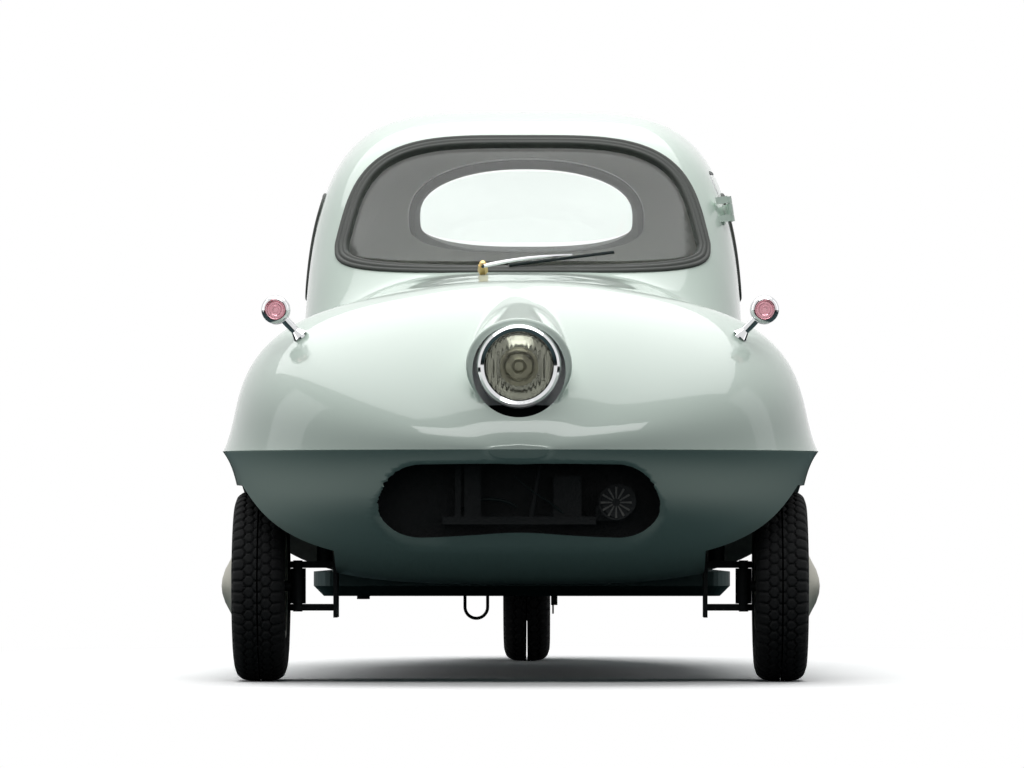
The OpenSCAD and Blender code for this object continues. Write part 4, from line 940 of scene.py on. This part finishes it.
def tyre_section(step=2.1):
    """Half section from the crown's middle down to the rim: distance run, half width and radius."""
    run = np.concatenate([[0], np.cumsum(np.hypot(np.diff(TYRE_SHAPE[:, 1] * TYRE_HALF),
                                                  np.diff(TYRE_SHAPE[:, 0] * (TYRE_R - RIM_R))))])
    at = np.arange(0, run[-1], step)
    across = np.interp(at, run, TYRE_SHAPE[:, 1]) * TYRE_HALF
    height = np.interp(at, run, TYRE_SHAPE[:, 0])
    kernel = np.hanning(9) / np.hanning(9).sum()
    across[4:-4] = np.convolve(across, kernel, "valid")
    height[4:-4] = np.convolve(height, kernel, "valid")
    down = run[-1] - at
    return down[::-1], across[::-1], (RIM_R + height * (TYRE_R - RIM_R))[::-1]


def tread_depth(turn, place):
    """Depth of the tread's grooves: zigzag lines round the tyre, cuts between them and shoulder notches."""
    phase = turn * TREAD_PITCHES / (2 * math.pi)
    wave = 4 * np.abs(phase - np.floor(phase + 0.5)) - 1
    depth = np.zeros(np.broadcast(turn, place).shape)
    for k, middle in enumerate(GROOVES):
        bend = ZIGZAG * wave * (1 if k % 2 else -1)
        depth = np.maximum(depth, 1 - np.abs(place - middle - bend) / GROOVE)
    column = np.floor((place - GROOVES[0]) / COLUMN)
    cut = np.abs((phase + 0.5 * np.mod(column, 2)) % 1 - 0.5) * PITCH
    depth = np.maximum(depth, np.where(np.abs(place) < SHOULDER[0], 1 - (PITCH / 2 - cut) / GROOVE, 0))
    side = (np.abs(place) > SHOULDER[0] - 6) & (np.abs(place) < SHOULDER[1])
    notch = 1 - np.abs((phase % 1) - 0.5) * PITCH / (1.5 * GROOVE)
    depth = np.maximum(depth, np.where(side, notch, 0))
    return TREAD_DEEP * np.clip(1.6 * depth, 0, 1)


def make_tyre(name, body, node, at):
    """A tyre whose crown has block tread; it stands for the plain CAD tyre."""
    run, across, radius = tyre_section()
    place = np.concatenate([-run, run[::-1][1:]])
    x = np.concatenate([-across, across[::-1][1:]])
    r = np.concatenate([radius, radius[::-1][1:]])
    steps = TREAD_PITCHES * PITCH_STEPS
    turn = 2 * math.pi * np.arange(steps) / steps
    deep = r[:, None] - tread_depth(turn[None, :], place[:, None])
    xx = np.repeat(x[:, None], steps, axis=1)
    verts = np.stack([xx + at[0], deep * np.cos(turn) + at[1], deep * np.sin(turn) + at[2]], axis=-1)
    bead = np.stack([xx[[-1, 0]] + at[0], (RIM_R - 6) * np.cos(turn) + at[1] + 0 * xx[[-1, 0]],
                     (RIM_R - 6) * np.sin(turn) + at[2] + 0 * xx[[-1, 0]]], axis=-1)
    verts = np.concatenate([verts, bead])
    rows = len(verts)
    faces = ring_faces(rows, steps, ends=False)
    last = (rows - 1) * steps
    faces += [(last + i, last + (i + 1) % steps, (i + 1) % steps, i) for i in range(steps)]
    tyre = new_mesh(name, verts.reshape(-1, 3), faces, [TYRE])
    tidy_mesh(tyre, angle=50, weld=1e-7)
    finish_piece(tyre, body, "tyre", node)


WHEELS = {"left": ("front_left_wheel", 547, FRONT_AXLE), "right": ("front_right_wheel", -547, FRONT_AXLE),
          "rear": ("rear_wheel", 0, REAR_AXLE)}
for end, (wheel, wheel_x, wheel_y) in WHEELS.items():
    make_tyre("tread_tyre_" + end, wheel, "tyre_" + end, (wheel_x, wheel_y, AXLE_Z))


# ---------------------------------------------------------------- lamps

LENS_R, LENS_T, LENS_IN, LENS_DOME = 71.5, 4, 14, 9.5
RIB_PITCH, RIB_HIGH, RIB_EDGE = 9, 0.9, 3
BAR_Z, BAR_HIGH = 24, 0.8
# Radius and depth of the rings behind the glass, and of the rubber round it
BULLSEYE = [(0.01, -4), (9, -4), (12, 0), (15, -2), (18, 0), (26, 1), (29, -2), (32, 1), (40, 3), (40, 8),
            (0.01, 8)]
GASKET = [(70.8, -16.2), (72.6, -17.6), (75.4, -18), (75.6, -15), (71, -14)]


def make_headlight():
    """Ribbed glass over a bullseye reflector, inside the bezel."""
    rings, steps = 44, 220
    verts, faces = [], []
    for side, lift in ((1, 0), (-1, LENS_T)):
        for j in range(rings):
            r = LENS_R * (j + 0.5) / (rings - 0.5)
            for i in range(steps):
                t = 2 * math.pi * i / steps
                x, z = r * math.cos(t), r * math.sin(t)
                dome = LENS_DOME * (1 - (r / LENS_R) ** 2)
                ribbed = side > 0 and r < LENS_R - RIB_EDGE
                rib = RIB_HIGH * abs(math.sin(math.pi * x / RIB_PITCH)) if ribbed else 0
                bar = BAR_HIGH if side > 0 and 3 < abs(abs(z) - BAR_Z) < 4.6 else 0
                verts.append((x, LAMP_Y - LENS_IN - dome - rib - bar + lift, LAMP_Z + z))
    half = rings * steps
    for j in range(rings - 1):
        for i in range(steps):
            a, b = j * steps + i, j * steps + (i + 1) % steps
            faces.append((a, b, b + steps, a + steps))
            faces.append((half + a, half + a + steps, half + b + steps, half + b))
    faces.append(tuple(range(steps - 1, -1, -1)))
    faces.append(tuple(half + i for i in range(steps)))
    rim = (rings - 1) * steps
    for i in range(steps):
        j = (i + 1) % steps
        faces.append((rim + i, rim + j, half + rim + j, half + rim + i))
    lens = new_mesh("ribbed_lens", verts, faces, [LENS])
    tidy_mesh(lens, weld=1e-7)
    finish_piece(lens, "body", "lens_glass", "headlight_lens")
    bull = turned("bullseye", BULLSEYE, (0, LAMP_Y + 2, LAMP_Z), (0, 1, 0), [MIRROR], closed=False)
    finish_piece(bull, "body", "chrome")
    ring = turned("lens_gasket", GASKET, (0, LAMP_Y - 5, LAMP_Z), (0, 1, 0), [RUBBER])
    finish_piece(ring, "body", "rubber_seal")


make_headlight()


# Radius and depth of a side lamp's ringed glass and of the chrome round it, which ends at the shell's radius
LAMP_GLASS = [(0.01, 0), (0.01, -12), (5, -12), (6.5, -9.6), (9, -11.4), (11, -8.8), (13.5, -10),
              (15.5, -7.4), (18, -8), (19.5, -5), (20, 0)]
LAMP_RIM = [(20.2, 0), (20.2, -6), (22, -8), (25, -6.6), (28, -3)]


def make_side_lamp(name, side):
    """Ringed pink glass in a side lamp's chrome shell."""
    low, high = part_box("side_lamp_lenses")
    r = (high.z - low.z) / 2 / MM
    at = (side * (high.x / MM - r), high.y / MM, (high.z + low.z) / 2 / MM)
    lens = turned(name, LAMP_GLASS, at, (0, 1, 0), [PINK], 96, closed=False)
    shell = [(r + 1.5, 0.6), (r + 1.5, 2)]
    rim = turned("lamp_rim", LAMP_RIM + shell, at, (0, 1, 0), [CHROME], 96)
    finish_piece(rim, "body", "chrome")
    finish_piece(lens, "body", "pink_lens", "side_lamp_lenses")


make_side_lamp("left_ringed_lens", 1)
make_side_lamp("right_ringed_lens", -1)


# ---------------------------------------------------------------- wiper, plate and nose fittings

def on_glass(x, z, out):
    """A point in front of the windscreen."""
    return Vector(skin_points(np.array([[x, z]]), "XZ", -1)[0]) + Vector((0, -out, 0))


WIPER_OUT, BLADE_OUT, ARM_BOW, BLADE_BOW = 23, 15, 5, 3
WIPER_NUT = [(0.01, -30), (5, -30), (8, -27), (8, -20), (10, -20), (11, -8), (11, 0), (0.01, 0)]


def bowed(start, end, steps, bow):
    """Points of a bar from start to end, whose middle is moved by bow."""
    return [start.lerp(end, k / steps) + bow * math.sin(math.pi * k / steps) for k in range(steps + 1)]


def make_wiper():
    """A chrome arm from its nut to a clip on the dark blade."""
    pivot = on_glass(-83, 866, 0)
    start = pivot + Vector((0, -18, 18))
    path = bowed(start, on_glass(108, 916, WIPER_OUT), 8, Vector((0, 0, ARM_BOW)))
    arm = tube("wiper_arm", path, None, [CHROME], 12, radii=[4.6 - 0.25 * k for k in range(9)])
    finish_piece(arm, "body", "chrome", "wiper")
    nut = turned("wiper_nut", WIPER_NUT, pivot + Vector((0, 6, 6)), (0, 1, -1), [BRASS], 6, closed=False)
    finish_piece(nut, "body", "chrome")
    path = bowed(on_glass(-28, 893, BLADE_OUT), on_glass(200, 923, BLADE_OUT), 12, Vector((0, -BLADE_BOW, 0)))
    blade = tube("wiper_blade", path, 3.4, [DARK], 8)
    finish_piece(blade, "body", "dark_paint")


RIM_IN, RIM_CORNER = 4, 12


def make_plate_rim():
    """A raised edge round the blank number plate."""
    low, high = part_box("number_plate")
    half_w = (high.x - low.x) / 2 / MM - RIM_IN
    half_h = (high.z - low.z) / 2 / MM - RIM_IN
    y, z = high.y / MM - 0.5, (high.z + low.z) / 2 / MM
    corners = [(side * (half_w - RIM_CORNER), z + up * (half_h - RIM_CORNER), RIM_CORNER)
               for side in (-1, 1) for up in (-1, 1)]
    path = [(x, y, h) for x, h in resample(outline(corners, 0), 96)]
    finish_piece(tube("plate_rim", path, 2, [PLATE], 8, closed=True), "body", "cream_plastic")


def resample_line(path, count):
    """A smooth line through a few points."""
    pts = np.array(path, float)
    t = np.linspace(0, len(pts) - 1, count)
    i = np.clip(t.astype(int), 0, len(pts) - 2)
    slope = np.gradient(pts, axis=0)
    u = (t - i)[:, None]
    return ((2 * u**3 - 3 * u**2 + 1) * pts[i] + (u**3 - 2 * u**2 + u) * slope[i]
            + (3 * u**2 - 2 * u**3) * pts[i + 1] + (u**3 - u**2) * slope[i + 1])


# Routes of the cable and the wire behind the mouth, with their radii
CABLES = (
    ("loom", 4, [(-128, -1330, 352), (-100, -1336, 372), (-70, -1338, 382), (-30, -1338, 378),
                 (-5, -1336, 366)]),
    ("thin_wire", 2, [(-10, -1346, 430), (10, -1350, 412), (36, -1350, 392), (64, -1350, 374),
                      (92, -1346, 352)]))


def make_cables():
    """A cable and a wire held between the frame and the shell behind the mouth."""
    for name, r, path in CABLES:
        finish_piece(tube(name, resample_line(path, 40), r, [DARK], 10), "body", "dark_paint")


HORN_SLOTS, HORN_RING, HORN_IN = 12, 4, 5


def make_horn_face():
    """Slots round the horn's face, as thin dark bars joined to a ring."""
    low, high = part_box("horn")
    middle = (low + high) / 2 / MM
    r = (high.x - low.x) / 2 / MM - HORN_IN
    y = low.y / MM - 0.4
    section = [(r - HORN_RING, 0), (r, 0), (r, -2), (r - HORN_RING, -2)]
    ring = turned("horn_grille", section, (middle.x, y, middle.z), (0, 1, 0), [BLACK_STEEL], 64)
    verts, faces = [], []
    for k in range(HORN_SLOTS):
        t = 2 * math.pi * k / HORN_SLOTS
        out, aside = Vector((math.cos(t), 0, math.sin(t))), Vector((-math.sin(t), 0, math.cos(t)))
        base = len(verts)
        for depth in (-2, 0):
            for away, wide in ((8, -1.4), (r - 3, -2.4), (r - 3, 2.4), (8, 1.4)):
                verts.append(tuple(Vector((middle.x, y + depth, middle.z)) + out * away + aside * wide))
        faces += [tuple(base + i for i in f) for f in ring_faces(2, 4)]
    bars = new_mesh("horn_slots", verts, faces, [HORN_METAL], smooth=False)
    tidy_mesh(bars)
    finish_piece(ring, "body", "chrome")
    finish_piece(bars, "body", "chrome")


make_wiper()
make_plate_rim()
make_cables()
make_horn_face()


# ---------------------------------------------------------------- seats

CUSHION, BACK = (400, 400, 95), (400, 85, 487)
SEAT_Z, BACK_LEAN = 348, math.radians(10)
SHRINK, SWELL, VOXEL = 15, 25, 8.5
CORNER, CHANNELS, CHANNEL_DEEP, CHANNEL_W = 14, 5, 9, 6
CLOTH_STEPS, PRESSURE = 20, 4


def soft_block(name, size, place, channels):
    """A crowned cushion: a rounded block that cloth pressure swells, with channels pressed in afterwards."""
    half = [v / 2 - SHRINK for v in size]
    bm = bmesh.new()
    bmesh.ops.create_cube(bm, size=2)
    bmesh.ops.scale(bm, vec=[v * MM for v in half], verts=bm.verts)
    bmesh.ops.bevel(bm, geom=list(bm.edges), offset=CORNER * MM, segments=4, affect="EDGES", profile=0.5)
    mesh = bpy.data.meshes.new(name)
    bm.to_mesh(mesh)
    bm.free()
    mesh.materials.append(CLOTH)
    pad = bpy.data.objects.new(name, mesh)
    bpy.context.scene.collection.objects.link(pad)
    remesh = pad.modifiers.new("even", "REMESH")
    remesh.mode = "VOXEL"
    remesh.voxel_size = VOXEL * MM
    bake_modifiers(pad)
    start = np.array([v.co for v in pad.data.vertices])
    cloth = pad.modifiers.new("swell", "CLOTH")
    cloth.settings.use_pressure = True
    cloth.settings.uniform_pressure_force = PRESSURE
    cloth.settings.effector_weights.gravity = 0
    cloth.point_cache.frame_end = CLOTH_STEPS
    for step in range(1, CLOTH_STEPS + 1):
        bpy.context.scene.frame_set(step)
    bake_modifiers(pad)
    bpy.context.scene.frame_set(1)
    now = np.array([v.co for v in pad.data.vertices])
    limit = np.array([v / 2 * MM for v in size])
    moved = np.clip(now - start, -SWELL * MM, SWELL * MM)
    now = np.clip(start + moved, -limit, limit)
    smooth = pad.modifiers.new("finer", "SUBSURF")
    smooth.levels = 1
    pad.data.vertices.foreach_set("co", now.ravel())
    bake_modifiers(pad)
    now = np.array([v.co for v in pad.data.vertices])
    press_channels(now, limit, channels)
    world = np.array([place @ Vector(p) for p in now])
    pad.data.vertices.foreach_set("co", world.ravel())
    pad.data.polygons.foreach_set("use_smooth", [True] * len(pad.data.polygons))
    pad.data.update()
    return pad


def press_channels(points, limit, channels):
    """Sinks sewn lines across the face that is sat on or leant on, fading out before the sides."""
    axis, sign, across, count = channels
    reach = (np.abs(points) / limit).max(axis=1, where=np.arange(3) != axis, initial=0)
    edge = 1 - np.clip(reach - 0.72, 0, 0.2) / 0.2
    face = np.clip(points[:, axis] * sign / limit[axis] - 0.35, 0, 0.3) / 0.3
    place = (points[:, across] / limit[across] / 0.8 + 1) / 2 * count
    away = ((place + 0.5) % 1 - 0.5) * 2 * limit[across] * 0.8 / count
    line = np.exp(-(away / (CHANNEL_W * MM)) ** 2)
    points[:, axis] -= sign * CHANNEL_DEEP * MM * line * face * edge


def bake_modifiers(obj):
    """Replaces a piece's mesh with what its modifiers make of it."""
    view = bpy.context.evaluated_depsgraph_get()
    view.update()
    mesh = bpy.data.meshes.new_from_object(obj.evaluated_get(view))
    obj.modifiers.clear()
    old, name = obj.data, obj.data.name
    obj.data = mesh
    bpy.data.meshes.remove(old)
    mesh.name = name


def piping(name, size, place):
    """The welt sewn round a cushion's upper edge."""
    half_x, half_y, up = size
    corners = [(a * (half_x - 30), b * (half_y - 30), 30) for a in (-1, 1) for b in (-1, 1)]
    ring = [place @ (Vector((x, y, up)) * MM) / MM for x, y in resample(outline(corners, 0), 90)]
    return tube(name, ring, 3.6, [PIPING], 8, closed=True)


def make_seat(name, node):
    """A seat cushion and its leaning back."""
    low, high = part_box(node)
    x = (low.x + high.x) / 2
    y = low.y
    seat_at = Matrix.Translation((x, y + 0.2, (SEAT_Z + 0.3 + CUSHION[2] / 2) * MM))
    hinge = Vector((x, y + 0.4003, (SEAT_Z + CUSHION[2] * 0.4) * MM))
    lean = Matrix.Rotation(-BACK_LEAN, 4, "X")
    back_at = Matrix.Translation(hinge) @ lean @ Matrix.Translation((0, BACK[1] / 2 * MM, BACK[2] / 2 * MM))
    base = soft_block(name + "_cushion", CUSHION, seat_at, (2, 1, 0, CHANNELS))
    back = soft_block(name + "_back", BACK, back_at, (1, -1, 0, CHANNELS))
    for pad in (base, back):
        finish_piece(pad, "body", "seat_cloth", node)
    welt = piping(name + "_piping", (190, 190, 30), seat_at)
    finish_piece(welt, "body", "seat_cloth")


make_seat("driver", "driver_seat")
make_seat("passenger", "passenger_seat")
